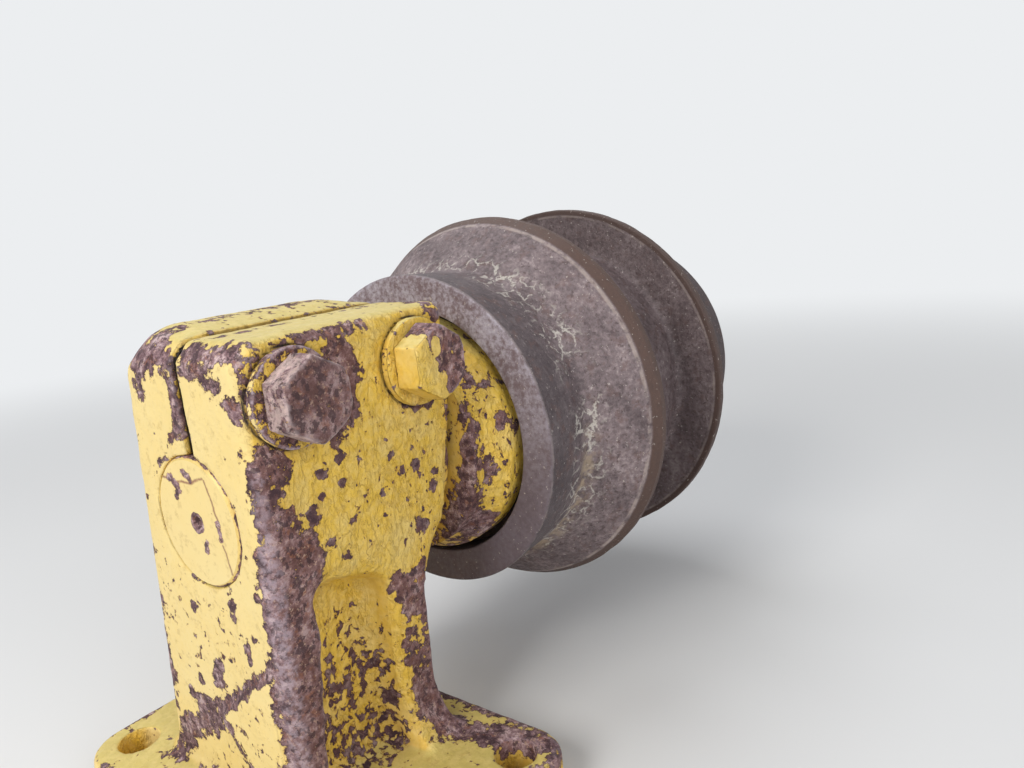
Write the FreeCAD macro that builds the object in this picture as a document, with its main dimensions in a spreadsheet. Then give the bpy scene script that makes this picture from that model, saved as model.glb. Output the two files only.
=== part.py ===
import FreeCAD, Part
import Sketcher
import math
import os
from FreeCAD import Rotation, Vector

# Carrier roller of a crawler track on its cast, clamped support bracket.
# X runs along the track, +Y points inboard from the bracket towards the machine, +Z is up.
# The origin is the centre of the foot's machined underside. All sizes are in millimetres.

# Driving sizes: alias, value, what it measures.
SIZES = [
    ("axis_height", 178.0, "roller axis above the foot's underside"),
    ("roller_gap", 27.0, "head's roller side to the roller's outboard face"),
    ("fit_gap", 0.05, "radial clearance of a turned fit"),
    ("run_gap", 0.3, "clearance of a part that sits in a recess"),
    ("foot_length", 250.0, "foot flange along the track"),
    ("foot_front_margin", 32.0, "foot flange past the column's outboard face"),
    ("foot_back_margin", 22.0, "foot flange past the column's inboard face"),
    ("foot_thickness", 28.0, "foot flange thickness"),
    ("foot_rim_chamfer", 3.0, "chamfer of the foot flange's upper rim"),
    ("foot_corner", 22.0, "foot flange corner radius"),
    ("foot_hole_radius", 11.0, "foot bolt hole radius"),
    ("foot_hole_inset_x", 23.0, "foot bolt hole in from the foot's end"),
    ("foot_hole_inset_y", 25.0, "foot bolt hole in from the foot's side"),
    ("face_setback", 43.0, "foot centre out to the bracket's outboard face"),
    ("column_inset", 33.0, "column's inboard face in from the head's roller side"),
    ("head_depth", 129.0, "clamp head from outboard face to roller side"),
    ("head_rise", 87.5, "clamp head top above the roller axis"),
    ("head_right", 55.0, "head's bolt side from the axis, at the top"),
    ("head_left", 43.0, "head's nut side from the axis, at the top"),
    ("bolt_side_lean", 2.2, "degrees that the bolt side leans in towards the foot"),
    ("nut_side_lean", 7.2, "degrees that the nut side leans out towards the foot"),
    ("head_back_rise", 30.0, "end of the head's upright back, above the axis"),
    ("throat_drop", 72.0, "foot of the hollow under the head, below the axis"),
    ("throat_radius", 46.0, "hollow curve under the head"),
    ("throat_sweep", 55.0, "degrees of arc in that hollow"),
    ("throat_lip", 8.0, "rounding between the hollow and the head's back"),
    ("neck_boss_radius", 48.0, "round boss behind the head that the collar butts on"),
    ("face_round", 9.0, "rounding round the bracket's outboard face"),
    ("nut_shoulder_radius", 20.0, "rounding of the head's top edge on the nut side"),
    ("bolt_shoulder_radius", 9.0, "rounding of the head's top edge on the bolt side"),
    ("bolt_flare_radius", 34.0, "sweep from the column's bolt side into the foot"),
    ("nut_flare_radius", 28.0, "sweep from the column's nut side into the foot"),
    ("flare_sweep", 62.0, "degrees of arc in those sweeps"),
    ("junction_radius", 7.0, "hollow round the column's junction with the foot"),
    ("web_thickness", 74.0, "column's web between the side pockets"),
    ("web_offset", 10.0, "web's middle from the axis, towards the nut side"),
    ("pocket_front", 15.0, "outboard rim beside the pocket"),
    ("pocket_rear", 26.0, "inboard rim beside the pocket"),
    ("pocket_lean", 11.0, "how far the outboard rim widens towards the pocket's top"),
    ("pocket_top_drop", 34.0, "top of the side pocket at that rim, below the axis"),
    ("pocket_top_fall", 15.0, "how far that top falls towards the inboard rim"),
    ("bolt_pocket_blend", 16.0, "hollow between the bolt side pocket's floor and its walls"),
    ("nut_pocket_blend", 9.0, "the same in the shallower pocket on the nut side"),
    ("rib_height", 2.5, "raised rib on the outboard face, beside the foot"),
    ("rib_edge", 38.0, "rib's outer edge from the axis"),
    ("rib_top_drop", 70.0, "rib's top at that edge, below the axis"),
    ("rib_tip", 14.0, "rib's tip from the axis, towards the nut side"),
    ("rib_tip_drop", 107.0, "rib's tip below the axis"),
    ("rib_tip_round", 6.0, "rounding of the rib's tip"),
    ("rib_root", 24.0, "rib's inner edge at the foot, from the axis"),
    ("slit_width", 4.0, "clamp slit"),
    ("slit_offset", 4.0, "clamp slit from the axis, towards the bolt side"),
    ("shaft_radius", 33.0, "shaft where the head clamps it"),
    ("journal_radius", 40.0, "shaft inside the roller"),
    ("journal_room", 8.0, "room between the shaft's inner end and the end cover"),
    ("shaft_chamfer", 1.5, "chamfer on the shaft's outboard end"),
    ("centre_hole_radius", 4.0, "lathe centre in the shaft's end"),
    ("centre_hole_bottom", 1.0, "radius at that lathe centre's bottom"),
    ("centre_hole_depth", 6.0, "depth of that lathe centre"),
    ("bolt_radius", 12.0, "clamp bolt shank radius"),
    ("bolt_room", 1.0, "radial room round a clamp bolt in the near cheek and its washer"),
    ("bolt_rise", 58.5, "clamp bolts above the roller axis"),
    ("bolt_front_inset", 26.0, "outboard clamp bolt from the outboard face"),
    ("bolt_back_inset", 24.0, "inboard clamp bolt from the head's roller side"),
    ("bolt_seat", 52.5, "clamp bolt seat from the axis"),
    ("thread_depth", 36.0, "clamp bolt's thread in the far cheek, from the axis"),
    ("thread_room", 3.0, "room past the clamp bolt's end"),
    ("seat_radius", 26.0, "spot face under a clamp bolt"),
    ("hex_flats", 36.0, "clamp bolt across flats"),
    ("bolt_head_height", 16.0, "clamp bolt head height"),
    ("hex_chamfer", 2.4, "height of a hexagon's turned chamfer"),
    ("washer_radius", 23.5, "clamp washer outer radius"),
    ("washer_thickness", 5.0, "clamp washer thickness"),
    ("roller_length", 256.0, "roller from end face to end face"),
    ("tread_radius", 100.0, "tread that the track rail rolls on"),
    ("tread_root_radius", 97.5, "worn tread at the foot of the guide flange"),
    ("tread_width", 42.0, "tread from the end face to the flange's flank"),
    ("flange_radius", 129.0, "guide flange outer radius"),
    ("flank_radius", 124.0, "outer end of the flange's sloped flank"),
    ("flank_width", 28.0, "sloped flank along the axis"),
    ("crest_run", 9.0, "from the flank's end to the flange's rim"),
    ("rim_width", 6.0, "flange's rim"),
    ("waist_radius", 97.0, "waist between the guide flanges"),
    ("mouth_radius", 79.0, "recess in the roller's outboard face"),
    ("mouth_depth", 18.0, "depth of that recess"),
    ("collar_radius", 74.5, "collar inside the recess"),
    ("collar_neck_radius", 66.0, "collar where it meets the bracket"),
    ("collar_reach", 10.0, "collar's reach into the recess"),
    ("collar_lip", 4.0, "collar's lip outside the roller's face"),
    ("collar_waist", 10.0, "collar's neck along the axis"),
    ("seal_outer_radius", 72.0, "seal ring outer radius"),
    ("seal_inner_radius", 56.0, "seal ring inner radius"),
    ("cover_radius", 70.0, "end cover outer radius"),
    ("cover_recess", 10.0, "end cover's seat below the roller's inboard face"),
    ("cover_thickness", 14.0, "end cover flange thickness"),
    ("cover_boss_radius", 34.0, "raised middle of the end cover"),
    ("cover_boss_height", 8.0, "how far that middle stands out"),
    ("spigot_length", 16.0, "spigot of the end cover in the roller's bore"),
    ("screw_circle", 52.0, "cover screws' circle radius"),
    ("screw_flats", 16.0, "cover screw head across flats"),
    ("screw_head", 7.0, "cover screw head height"),
    ("plug_flats", 22.0, "oil plug head across flats"),
    ("plug_head", 8.0, "oil plug head height"),
]

COVER_SCREWS = 6
WIDE = "4 * Dim.foot_length"

doc = FreeCAD.newDocument("CarrierRoller")
sheet = doc.addObject("Spreadsheet::Sheet", "Dim")
for row, (alias, value, meaning) in enumerate(SIZES, start=1):
    sheet.set("A%d" % row, meaning)
    sheet.set("B%d" % row, str(value))
    sheet.setAlias("B%d" % row, alias)
doc.recompute()

NODES = []


def value_of(expression):
    """The number that an expression of the sheet's cells stands for."""
    result = sheet.evalExpression(expression)
    return float(getattr(result, "Value", result))


def bind(thing, **expressions):
    """Ties properties of an object to expressions of the sheet's cells."""
    for name, expression in expressions.items():
        thing.setExpression(name, expression)
    return thing


def place(thing, x="0", y="0", z="0"):
    """Ties an object's place to expressions."""
    for axis, expression in (("x", x), ("y", y), ("z", z)):
        thing.setExpression("Placement.Base." + axis, expression)
    return thing


def node(thing, label):
    """Makes an object one of the pieces that are written out."""
    thing.Label = label
    NODES.append(thing)
    return thing


def feature_plane(body, role):
    """One of the body's own origin planes or axes."""
    for item in body.Origin.OriginFeatures:
        if item.Role == role:
            return item
    raise ValueError(role)


def arc_middle(start, end, radius):
    """The middle of the shorter arc; a positive radius keeps the centre on the left."""
    chord = end - start
    left = Vector(-chord.y, chord.x, 0).normalize()
    sag = abs(radius) - math.sqrt(radius ** 2 - chord.Length ** 2 / 4)
    side = -1 if radius > 0 else 1
    return (start + end) * 0.5 + left * (side * sag)


def sketch_on(body, name, role, offset="0"):
    """An empty sketch on one of the body's origin planes, moved along its normal."""
    sketch = body.newObject("Sketcher::SketchObject", name)
    sketch.AttachmentSupport = [(feature_plane(body, role), "")]
    sketch.MapMode = "FlatFace"
    sketch.setExpression("AttachmentOffset.Base.z", offset)
    return sketch


def draw_outline(sketch, corners):
    """Draws a closed outline. A corner is (across, up) or (across, up, radius of the arc
    to the next corner), each an expression."""
    points = [Vector(value_of(corner[0]), value_of(corner[1]), 0) for corner in corners]
    ends = []
    for index, corner in enumerate(corners):
        start, end = points[index], points[(index + 1) % len(points)]
        if len(corner) < 3:
            edge = sketch.addGeometry(Part.LineSegment(start, end), False)
            ends.append((edge, 1, 2))
            continue
        radius = value_of(corner[2])
        middle = arc_middle(start, end, radius)
        if radius > 0:
            edge = sketch.addGeometry(Part.Arc(start, middle, end), False)
            ends.append((edge, 1, 2))
        else:
            edge = sketch.addGeometry(Part.Arc(end, middle, start), False)
            ends.append((edge, 2, 1))
        sized = sketch.addConstraint(Sketcher.Constraint("Radius", edge, abs(radius)))
        sketch.setExpression("Constraints[%d]" % sized, "abs(%s)" % corner[2])
    for index, (edge, first, last) in enumerate(ends):
        following, begin, finish = ends[(index + 1) % len(ends)]
        sketch.addConstraint(Sketcher.Constraint("Coincident", edge, last, following, begin))
    for (edge, first, last), corner, point in zip(ends, corners, points):
        for kind, expression, number in (("DistanceX", corner[0], point.x),
                                         ("DistanceY", corner[1], point.y)):
            sized = sketch.addConstraint(Sketcher.Constraint(kind, -1, 1, edge, first, number))
            sketch.setExpression("Constraints[%d]" % sized, expression)
    return sketch


def draw_circle(sketch, across, up, radius):
    """Draws a circle whose centre and radius are expressions."""
    centre = Vector(value_of(across), value_of(up), 0)
    shape = Part.Circle(centre, Vector(0, 0, 1), value_of(radius))
    edge = sketch.addGeometry(shape, False)
    for kind, expression, number in (("DistanceX", across, centre.x),
                                     ("DistanceY", up, centre.y)):
        sized = sketch.addConstraint(Sketcher.Constraint(kind, -1, 1, edge, 3, number))
        sketch.setExpression("Constraints[%d]" % sized, expression)
    sized = sketch.addConstraint(Sketcher.Constraint("Radius", edge, value_of(radius)))
    sketch.setExpression("Constraints[%d]" % sized, radius)
    return sketch


def pad(body, name, sketch, length, backwards=False, two_sided=False):
    """Adds a sketch's extrusion."""
    feature = body.newObject("PartDesign::Pad", name)
    feature.Profile = sketch
    feature.setExpression("Length", length)
    feature.Reversed = backwards
    if two_sided:
        feature.SideType = "Symmetric"
    return feature


def pocket(body, name, sketch, length=WIDE, backwards=False, two_sided=False):
    """Cuts a sketch's extrusion away, and makes sure that it cuts."""
    doc.recompute()
    before = body.Shape.Volume
    feature = body.newObject("PartDesign::Pocket", name)
    feature.Profile = sketch
    feature.setExpression("Length", length)
    feature.Reversed = backwards
    if two_sided:
        feature.SideType = "Symmetric"
    doc.recompute()
    if body.Shape.Volume > before - 1:
        raise RuntimeError(name + " cuts nothing")
    return feature


def dress(body, name, size, wanted, kind="Fillet"):
    """Rounds or chamfers the edges of the body that the test picks."""
    doc.recompute()
    base = body.Tip
    names = ["Edge%d" % number for number, edge in enumerate(base.Shape.Edges, start=1)
             if wanted(edge)]
    if not names:
        raise RuntimeError(name + " finds no edge")
    feature = body.newObject("PartDesign::" + kind, name)
    feature.Base = (base, names)
    feature.setExpression("Radius" if kind == "Fillet" else "Size", size)
    doc.recompute()
    return feature


ROLLER_FACE_Y = "Dim.head_depth - Dim.face_setback + Dim.roller_gap"


def turned(label, profile, y=ROLLER_FACE_Y, z="Dim.axis_height"):
    """A turned piece: corners are (radius, along the roller's axis from its outboard face)."""
    body = doc.addObject("PartDesign::Body", label)
    place(body, y=y, z=z)
    sketch = draw_outline(sketch_on(body, label + "_profile", "XY_Plane"), profile)
    feature = body.newObject("PartDesign::Revolution", label + "_turned")
    feature.Profile = sketch
    feature.ReferenceAxis = (sketch, ["V_Axis"])
    feature.Angle = 360
    doc.recompute()
    return node(body, label)


def crosses(edge, x=None, y=None, z=None, slack=0.01):
    """Whether the edge's middle lies at the given coordinates."""
    middle = edge.CenterOfMass
    wanted = ((middle.x, x), (middle.y, y), (middle.z, z))
    return all(goal is None or abs(here - goal) < slack for here, goal in wanted)


# The bracket: its outlines from the front and from the side, drawn once each.
HEAD_TOP = "Dim.axis_height + Dim.head_rise"
COLUMN_BASE = "Dim.foot_thickness / 2"
FACE_Y = "-Dim.face_setback"
HEAD_BACK_Y = "Dim.head_depth - Dim.face_setback"
BACK_Y = HEAD_BACK_Y + " - Dim.column_inset"
FOOT_FRONT_Y = FACE_Y + " - Dim.foot_front_margin"
FOOT_BACK_Y = BACK_Y + " + Dim.foot_back_margin"
LIP_Y = BACK_Y + " + Dim.throat_radius * (1 - cos(Dim.throat_sweep * 1 deg))"
LIP_Z = "Dim.axis_height - Dim.throat_drop + Dim.throat_radius * sin(Dim.throat_sweep * 1 deg)"


def sloping_side(top_x, lean, radius):
    """Across and up of a leaning side's sweep into the foot: its upper end, its lower end."""
    upper_z = "(Dim.foot_thickness + %s * (sin(Dim.flare_sweep * 1 deg) - sin(%s * 1 deg)))" \
        % (radius, lean)
    upper_x = "(%s + (%s - %s) * tan(%s * 1 deg))" % (top_x, HEAD_TOP, upper_z, lean)
    run = "%s * (cos(%s * 1 deg) - cos(Dim.flare_sweep * 1 deg))" % (radius, lean)
    return upper_x, upper_z, "(%s + %s)" % (upper_x, run)


RIGHT_X, RIGHT_Z, RIGHT_FOOT_X = sloping_side(
    "Dim.head_right", "(0 - Dim.bolt_side_lean)", "Dim.bolt_flare_radius")
LEFT_X, LEFT_Z, LEFT_FOOT_X = sloping_side(
    "Dim.head_left", "Dim.nut_side_lean", "Dim.nut_flare_radius")

bracket = node(doc.addObject("PartDesign::Body", "bracket_casting"), "bracket_casting")

front = sketch_on(bracket, "bracket_front", "XZ_Plane")
draw_outline(front, [
    ("0 - " + LEFT_FOOT_X, COLUMN_BASE),
    (RIGHT_FOOT_X, COLUMN_BASE),
    (RIGHT_FOOT_X, "Dim.foot_thickness", "-Dim.bolt_flare_radius"),
    (RIGHT_X, RIGHT_Z),
    ("Dim.head_right", HEAD_TOP),
    ("0 - Dim.head_left", HEAD_TOP),
    ("0 - " + LEFT_X, LEFT_Z, "-Dim.nut_flare_radius"),
    ("0 - " + LEFT_FOOT_X, "Dim.foot_thickness"),
])
pad(bracket, "bracket_block", front, "4 * Dim.head_depth", two_sided=True)

side = sketch_on(bracket, "bracket_side", "YZ_Plane")
draw_outline(side, [
    ("-" + WIDE, "-" + WIDE),
    (WIDE, "-" + WIDE),
    (WIDE, WIDE),
    ("-" + WIDE, WIDE),
])
draw_outline(side, [
    (FACE_Y, "0"),
    (BACK_Y, "0"),
    (BACK_Y, "Dim.axis_height - Dim.throat_drop", "-Dim.throat_radius"),
    (LIP_Y, LIP_Z),
    (HEAD_BACK_Y, "Dim.axis_height + Dim.head_back_rise"),
    (HEAD_BACK_Y, HEAD_TOP),
    (FACE_Y, HEAD_TOP),
])
pocket(bracket, "bracket_sides", side, "2 * " + WIDE, two_sided=True)

TOP = value_of(HEAD_TOP)
BASE = value_of(COLUMN_BASE)
FOOT_TOP = value_of("Dim.foot_thickness")
dress(bracket, "nut_shoulder", "Dim.nut_shoulder_radius",
      lambda edge: crosses(edge, x=-value_of("Dim.head_left"), z=TOP))
dress(bracket, "bolt_shoulder", "Dim.bolt_shoulder_radius",
      lambda edge: crosses(edge, x=value_of("Dim.head_right"), z=TOP))
dress(bracket, "throat_edge", "Dim.throat_lip",
      lambda edge: crosses(edge, y=value_of(LIP_Y), z=value_of(LIP_Z)))
dress(bracket, "face_edges", "Dim.face_round",
      lambda edge: crosses(edge, y=value_of(FACE_Y)) and edge.CenterOfMass.z > BASE + 1)

# The foot flange, and the hollow round its junction with the column.
foot = sketch_on(bracket, "foot_outline", "XY_Plane")
draw_outline(foot, [
    ("-Dim.foot_length / 2", FOOT_FRONT_Y),
    ("Dim.foot_length / 2", FOOT_FRONT_Y),
    ("Dim.foot_length / 2", FOOT_BACK_Y),
    ("-Dim.foot_length / 2", FOOT_BACK_Y),
])
pad(bracket, "foot_flange", foot, "Dim.foot_thickness")
FOOT_END = value_of("Dim.foot_length / 2")
dress(bracket, "foot_corners", "Dim.foot_corner",
      lambda edge: crosses(edge, z=BASE) and abs(abs(edge.CenterOfMass.x) - FOOT_END) < 0.01)
dress(bracket, "foot_rim", "Dim.foot_rim_chamfer",
      lambda edge: crosses(edge, x=FOOT_END, z=FOOT_TOP), "Chamfer")
JUNCTION_X = value_of(LEFT_FOOT_X) + 1
dress(bracket, "junction", "Dim.junction_radius",
      lambda edge: crosses(edge, z=FOOT_TOP) and abs(edge.CenterOfMass.x) < JUNCTION_X
      and value_of(FACE_Y) - 1 < edge.CenterOfMass.y < value_of(BACK_Y) + 1)

# The side pockets leave a web between an outboard and an inboard rim.
POCKET_SIDES = (
    ("bolt_side", "Dim.web_thickness / 2 - Dim.web_offset", True, "Dim.bolt_pocket_blend"),
    ("nut_side", "-Dim.web_thickness / 2 - Dim.web_offset", False, "Dim.nut_pocket_blend"),
)
POCKET_FRONT = FACE_Y + " + Dim.pocket_front"
POCKET_REAR = BACK_Y + " - Dim.pocket_rear"
POCKET_TOP = "Dim.axis_height - Dim.pocket_top_drop"
POCKET_NECK = "(%s - (%s) - Dim.pocket_lean)" % (POCKET_REAR, POCKET_FRONT)
BLEND_SHARE = 0.38  # the most of a pocket's narrow upper end that the hollow of one wall takes
for name, web_face, outwards, blend in POCKET_SIDES:
    hollow = sketch_on(bracket, "pocket_" + name, "YZ_Plane", web_face)
    draw_outline(hollow, [
        (POCKET_FRONT, "Dim.foot_thickness"),
        (POCKET_REAR, "Dim.foot_thickness"),
        (POCKET_REAR, POCKET_TOP + " - Dim.pocket_top_fall"),
        (POCKET_FRONT + " + Dim.pocket_lean", POCKET_TOP),
    ])
    pocket(bracket, "hollow_" + name, hollow, backwards=outwards)
    web_x = value_of(web_face)
    dress(bracket, "blend_" + name, "min(%s; %s * %s)" % (blend, BLEND_SHARE, POCKET_NECK),
          lambda edge: crosses(edge, x=web_x))

# A raised rib on the outboard face runs down into the foot.
RIB_TIP_Z = "Dim.axis_height - Dim.rib_tip_drop"
rib = sketch_on(bracket, "rib_outline", "XZ_Plane", "0 - (%s)" % FACE_Y)
draw_outline(rib, [
    ("Dim.rib_root", "Dim.foot_thickness"),
    ("Dim.rib_edge", "Dim.foot_thickness"),
    ("Dim.rib_edge", "Dim.axis_height - Dim.rib_top_drop"),
    ("0 - Dim.rib_tip", RIB_TIP_Z),
])
pad(bracket, "rib", rib, "Dim.rib_height")
dress(bracket, "rib_tip", "Dim.rib_tip_round",
      lambda edge: crosses(edge, x=-value_of("Dim.rib_tip"), z=value_of(RIB_TIP_Z)))

# A round boss behind the head carries the collar.
boss = sketch_on(bracket, "neck_boss_circle", "XZ_Plane", "0 - (%s)" % HEAD_BACK_Y)
draw_circle(boss, "0", "Dim.axis_height", "Dim.neck_boss_radius")
pad(bracket, "neck_boss", boss, HEAD_BACK_Y)

# Bore, slit, bolt seats and holes, foot holes.
bore = sketch_on(bracket, "bore_circle", "XZ_Plane")
draw_circle(bore, "0", "Dim.axis_height", "Dim.shaft_radius + Dim.fit_gap")
pocket(bracket, "bore", bore, WIDE, two_sided=True)

slit = sketch_on(bracket, "slit_outline", "XZ_Plane")
draw_outline(slit, [
    ("Dim.slit_offset - Dim.slit_width / 2", "Dim.axis_height"),
    ("Dim.slit_offset + Dim.slit_width / 2", "Dim.axis_height"),
    ("Dim.slit_offset + Dim.slit_width / 2", HEAD_TOP + " + Dim.slit_width"),
    ("Dim.slit_offset - Dim.slit_width / 2", HEAD_TOP + " + Dim.slit_width"),
])
pocket(bracket, "slit", slit, WIDE, two_sided=True)

BOLT_PLACES = (
    ("outboard", FACE_Y + " + Dim.bolt_front_inset"),
    ("inboard", HEAD_BACK_Y + " - Dim.bolt_back_inset"),
)
BOLT_Z = "Dim.axis_height + Dim.bolt_rise"
for name, bolt_y in BOLT_PLACES:
    for cut, start, radius, length in (
            ("seat", "Dim.bolt_seat", "Dim.seat_radius", WIDE),
            ("passage", "Dim.slit_offset", "Dim.bolt_radius + Dim.bolt_room", WIDE),
            ("thread", "0 - Dim.thread_depth", "Dim.bolt_radius + Dim.fit_gap",
             "Dim.thread_depth + Dim.slit_offset")):
        circle = sketch_on(bracket, "%s_circle_%s" % (cut, name), "YZ_Plane", start)
        draw_circle(circle, bolt_y, BOLT_Z, radius)
        pocket(bracket, "bolt_%s_%s" % (cut, name), circle, length, backwards=True)

holes = sketch_on(bracket, "foot_hole_circles", "XY_Plane")
for hole_y in (FOOT_FRONT_Y + " + Dim.foot_hole_inset_y", FOOT_BACK_Y + " - Dim.foot_hole_inset_y"):
    for sign in "-+":
        draw_circle(holes, "0 %s (Dim.foot_length / 2 - Dim.foot_hole_inset_x)" % sign, hole_y,
                    "Dim.foot_hole_radius")
pocket(bracket, "foot_holes", holes, WIDE, two_sided=True)

# The shaft, clamped by the head, with a larger journal inside the roller.
SHAFT_END = "-Dim.head_depth - Dim.roller_gap"
COVER_SEAT = "Dim.roller_length - Dim.cover_recess"
JOURNAL_END = COVER_SEAT + " - Dim.spigot_length - Dim.journal_room"
turned("roller_shaft", [
    ("0", SHAFT_END + " + Dim.centre_hole_depth"),
    ("Dim.centre_hole_bottom", SHAFT_END + " + Dim.centre_hole_depth"),
    ("Dim.centre_hole_radius", SHAFT_END),
    ("Dim.shaft_radius - Dim.shaft_chamfer", SHAFT_END),
    ("Dim.shaft_radius", SHAFT_END + " + Dim.shaft_chamfer"),
    ("Dim.shaft_radius", "Dim.collar_reach"),
    ("Dim.journal_radius", "Dim.collar_reach"),
    ("Dim.journal_radius", JOURNAL_END),
    ("0", JOURNAL_END),
])

COLLAR_BACK = "-Dim.roller_gap"
turned("collar", [
    ("Dim.shaft_radius + Dim.fit_gap", COLLAR_BACK),
    ("Dim.collar_neck_radius", COLLAR_BACK),
    ("Dim.collar_neck_radius", COLLAR_BACK + " + Dim.collar_waist"),
    ("Dim.collar_radius", "-Dim.collar_lip"),
    ("Dim.collar_radius", "Dim.collar_reach"),
    ("Dim.shaft_radius + Dim.fit_gap", "Dim.collar_reach"),
])

turned("seal_ring", [
    ("Dim.seal_inner_radius", "Dim.collar_reach + Dim.run_gap"),
    ("Dim.seal_outer_radius", "Dim.collar_reach + Dim.run_gap"),
    ("Dim.seal_outer_radius", "Dim.mouth_depth"),
    ("Dim.seal_inner_radius", "Dim.mouth_depth"),
])

# The roller: one half's outline from the end face to the waist, then the same mirrored.
FLANGE_START = "Dim.tread_width + Dim.flank_width + Dim.crest_run"
OUTSIDE = [
    ("Dim.tread_radius", "0"),
    ("Dim.tread_root_radius", "Dim.tread_width"),
    ("Dim.flank_radius", "Dim.tread_width + Dim.flank_width"),
    ("Dim.flange_radius", FLANGE_START),
    ("Dim.flange_radius", FLANGE_START + " + Dim.rim_width"),
    ("Dim.waist_radius", FLANGE_START + " + Dim.rim_width"),
]


def mirrored(corners):
    """The same corners seen from the roller's other end, in reverse order."""
    return [(radius, "Dim.roller_length - (%s)" % along) for radius, along in reversed(corners)]


turned("roller_shell", OUTSIDE + mirrored(OUTSIDE) + [
    ("Dim.cover_radius + Dim.run_gap", "Dim.roller_length"),
    ("Dim.cover_radius + Dim.run_gap", COVER_SEAT),
    ("Dim.journal_radius + Dim.fit_gap", COVER_SEAT),
    ("Dim.journal_radius + Dim.fit_gap", "Dim.mouth_depth"),
    ("Dim.mouth_radius", "Dim.mouth_depth"),
    ("Dim.mouth_radius", "0"),
])

# The end cover, with its screws' heads and the oil plug's head on its face.
COVER_FACE = COVER_SEAT + " + Dim.cover_thickness"
BOSS_FACE = COVER_FACE + " + Dim.cover_boss_height"
cover = turned("end_cover", [
    ("0", COVER_SEAT + " - Dim.spigot_length"),
    ("Dim.journal_radius", COVER_SEAT + " - Dim.spigot_length"),
    ("Dim.journal_radius", COVER_SEAT),
    ("Dim.cover_radius", COVER_SEAT),
    ("Dim.cover_radius", COVER_FACE),
    ("Dim.cover_boss_radius", COVER_FACE),
    ("Dim.cover_boss_radius", BOSS_FACE),
    ("0", BOSS_FACE),
])


def hexagon_corners(flats, across="0"):
    """The corners of a hexagon with two level sides, its centre moved across."""
    reach = "%s / sqrt(3)" % flats
    return [("%s + %s * cos(%d deg)" % (across, reach, angle), "%s * sin(%d deg)" % (reach, angle))
            for angle in range(0, 360, 60)]


plug = sketch_on(cover, "plug_hexagon", "XZ_Plane", "0 - (%s)" % BOSS_FACE)
draw_outline(plug, hexagon_corners("Dim.plug_flats"))
pad(cover, "plug_head", plug, "Dim.plug_head", backwards=True)
head = sketch_on(cover, "screw_hexagon", "XZ_Plane", "0 - (%s)" % COVER_FACE)
draw_outline(head, hexagon_corners("Dim.screw_flats", "Dim.screw_circle"))
screw_head = pad(cover, "screw_head", head, "Dim.screw_head", backwards=True)
ring_of_heads = cover.newObject("PartDesign::PolarPattern", "screw_heads")
ring_of_heads.Originals = [screw_head]
ring_of_heads.Axis = (feature_plane(cover, "Y_Axis"), [""])
ring_of_heads.Angle = 360
ring_of_heads.Occurrences = COVER_SCREWS
cover.Tip = ring_of_heads
doc.recompute()


def screw(label, flats, head_height, chamfer, radius, length):
    """A hexagon screw: the head's underside is at z = 0 and the shank goes down."""
    prism = doc.addObject("Part::Prism", label + "_prism")
    prism.Polygon = 6
    bind(prism, Circumradius="%s / sqrt(3)" % flats, Height=head_height)
    cone = doc.addObject("Part::Cone", label + "_cone")
    across_corners = "%s / sqrt(3)" % flats
    slope = "(%s - %s / 2) / %s * %s" % (across_corners, flats, chamfer, head_height)
    bind(cone, Radius1="%s / 2 + %s" % (flats, slope), Radius2="%s / 2" % flats,
         Height=head_height)
    top = doc.addObject("Part::Common", label + "_head")
    top.Base = prism
    top.Tool = cone
    shank = doc.addObject("Part::Cylinder", label + "_shank")
    bind(shank, Radius=radius, Height=length)
    place(shank, z="0 - (%s)" % length)
    whole = doc.addObject("Part::Fuse", label)
    whole.Base = top
    whole.Tool = shank
    return node(whole, label)


def ring(label, outer, inner, height):
    """A flat ring from z = 0 up."""
    disc = doc.addObject("Part::Cylinder", label + "_disc")
    bind(disc, Radius=outer, Height=height)
    hole = doc.addObject("Part::Cylinder", label + "_hole")
    bind(hole, Radius=inner, Height=height)
    cut = doc.addObject("Part::Cut", label)
    cut.Base = disc
    cut.Tool = hole
    return node(cut, label)


# Clamp bolts with washers on the bolt side, threaded into the far cheek.
TOWARDS_BOLT_SIDE = Rotation(Vector(0, 1, 0), 90)
SHANK = "Dim.bolt_seat + Dim.washer_thickness + Dim.thread_depth - Dim.thread_room"
for name, bolt_y in BOLT_PLACES:
    bolt = screw("clamp_bolt_" + name, "Dim.hex_flats", "Dim.bolt_head_height", "Dim.hex_chamfer",
                 "Dim.bolt_radius", SHANK)
    washer = ring("head_washer_" + name, "Dim.washer_radius", "Dim.bolt_radius + Dim.bolt_room",
                  "Dim.washer_thickness")
    for piece, across in ((bolt, "Dim.bolt_seat + Dim.washer_thickness"),
                          (washer, "Dim.bolt_seat")):
        piece.Placement.Rotation = TOWARDS_BOLT_SIDE
        place(piece, x=across, y=bolt_y, z=BOLT_Z)

doc.recompute()

for item in doc.Objects:
    if "Invalid" in item.State or "Error" in item.State:
        raise RuntimeError("%s is %s" % (item.Label, item.State))

os.makedirs("parts", exist_ok=True)
for item in NODES:
    shape = item.Shape
    if shape.isNull() or not shape.isValid():
        raise RuntimeError(item.Label + " has no valid shape")
    shape.exportStep(os.path.join("parts", item.Label + ".step"))
    box = shape.BoundBox
    print("%-24s %d solid  %9.0f mm3  x %.1f..%.1f  y %.1f..%.1f  z %.1f..%.1f" % (
        item.Label, len(shape.Solids), shape.Volume,
        box.XMin, box.XMax, box.YMin, box.YMax, box.ZMin, box.ZMax))
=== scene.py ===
import math

import bmesh
import bpy
import numpy as np
from mathutils import Matrix, Vector, noise


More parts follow.
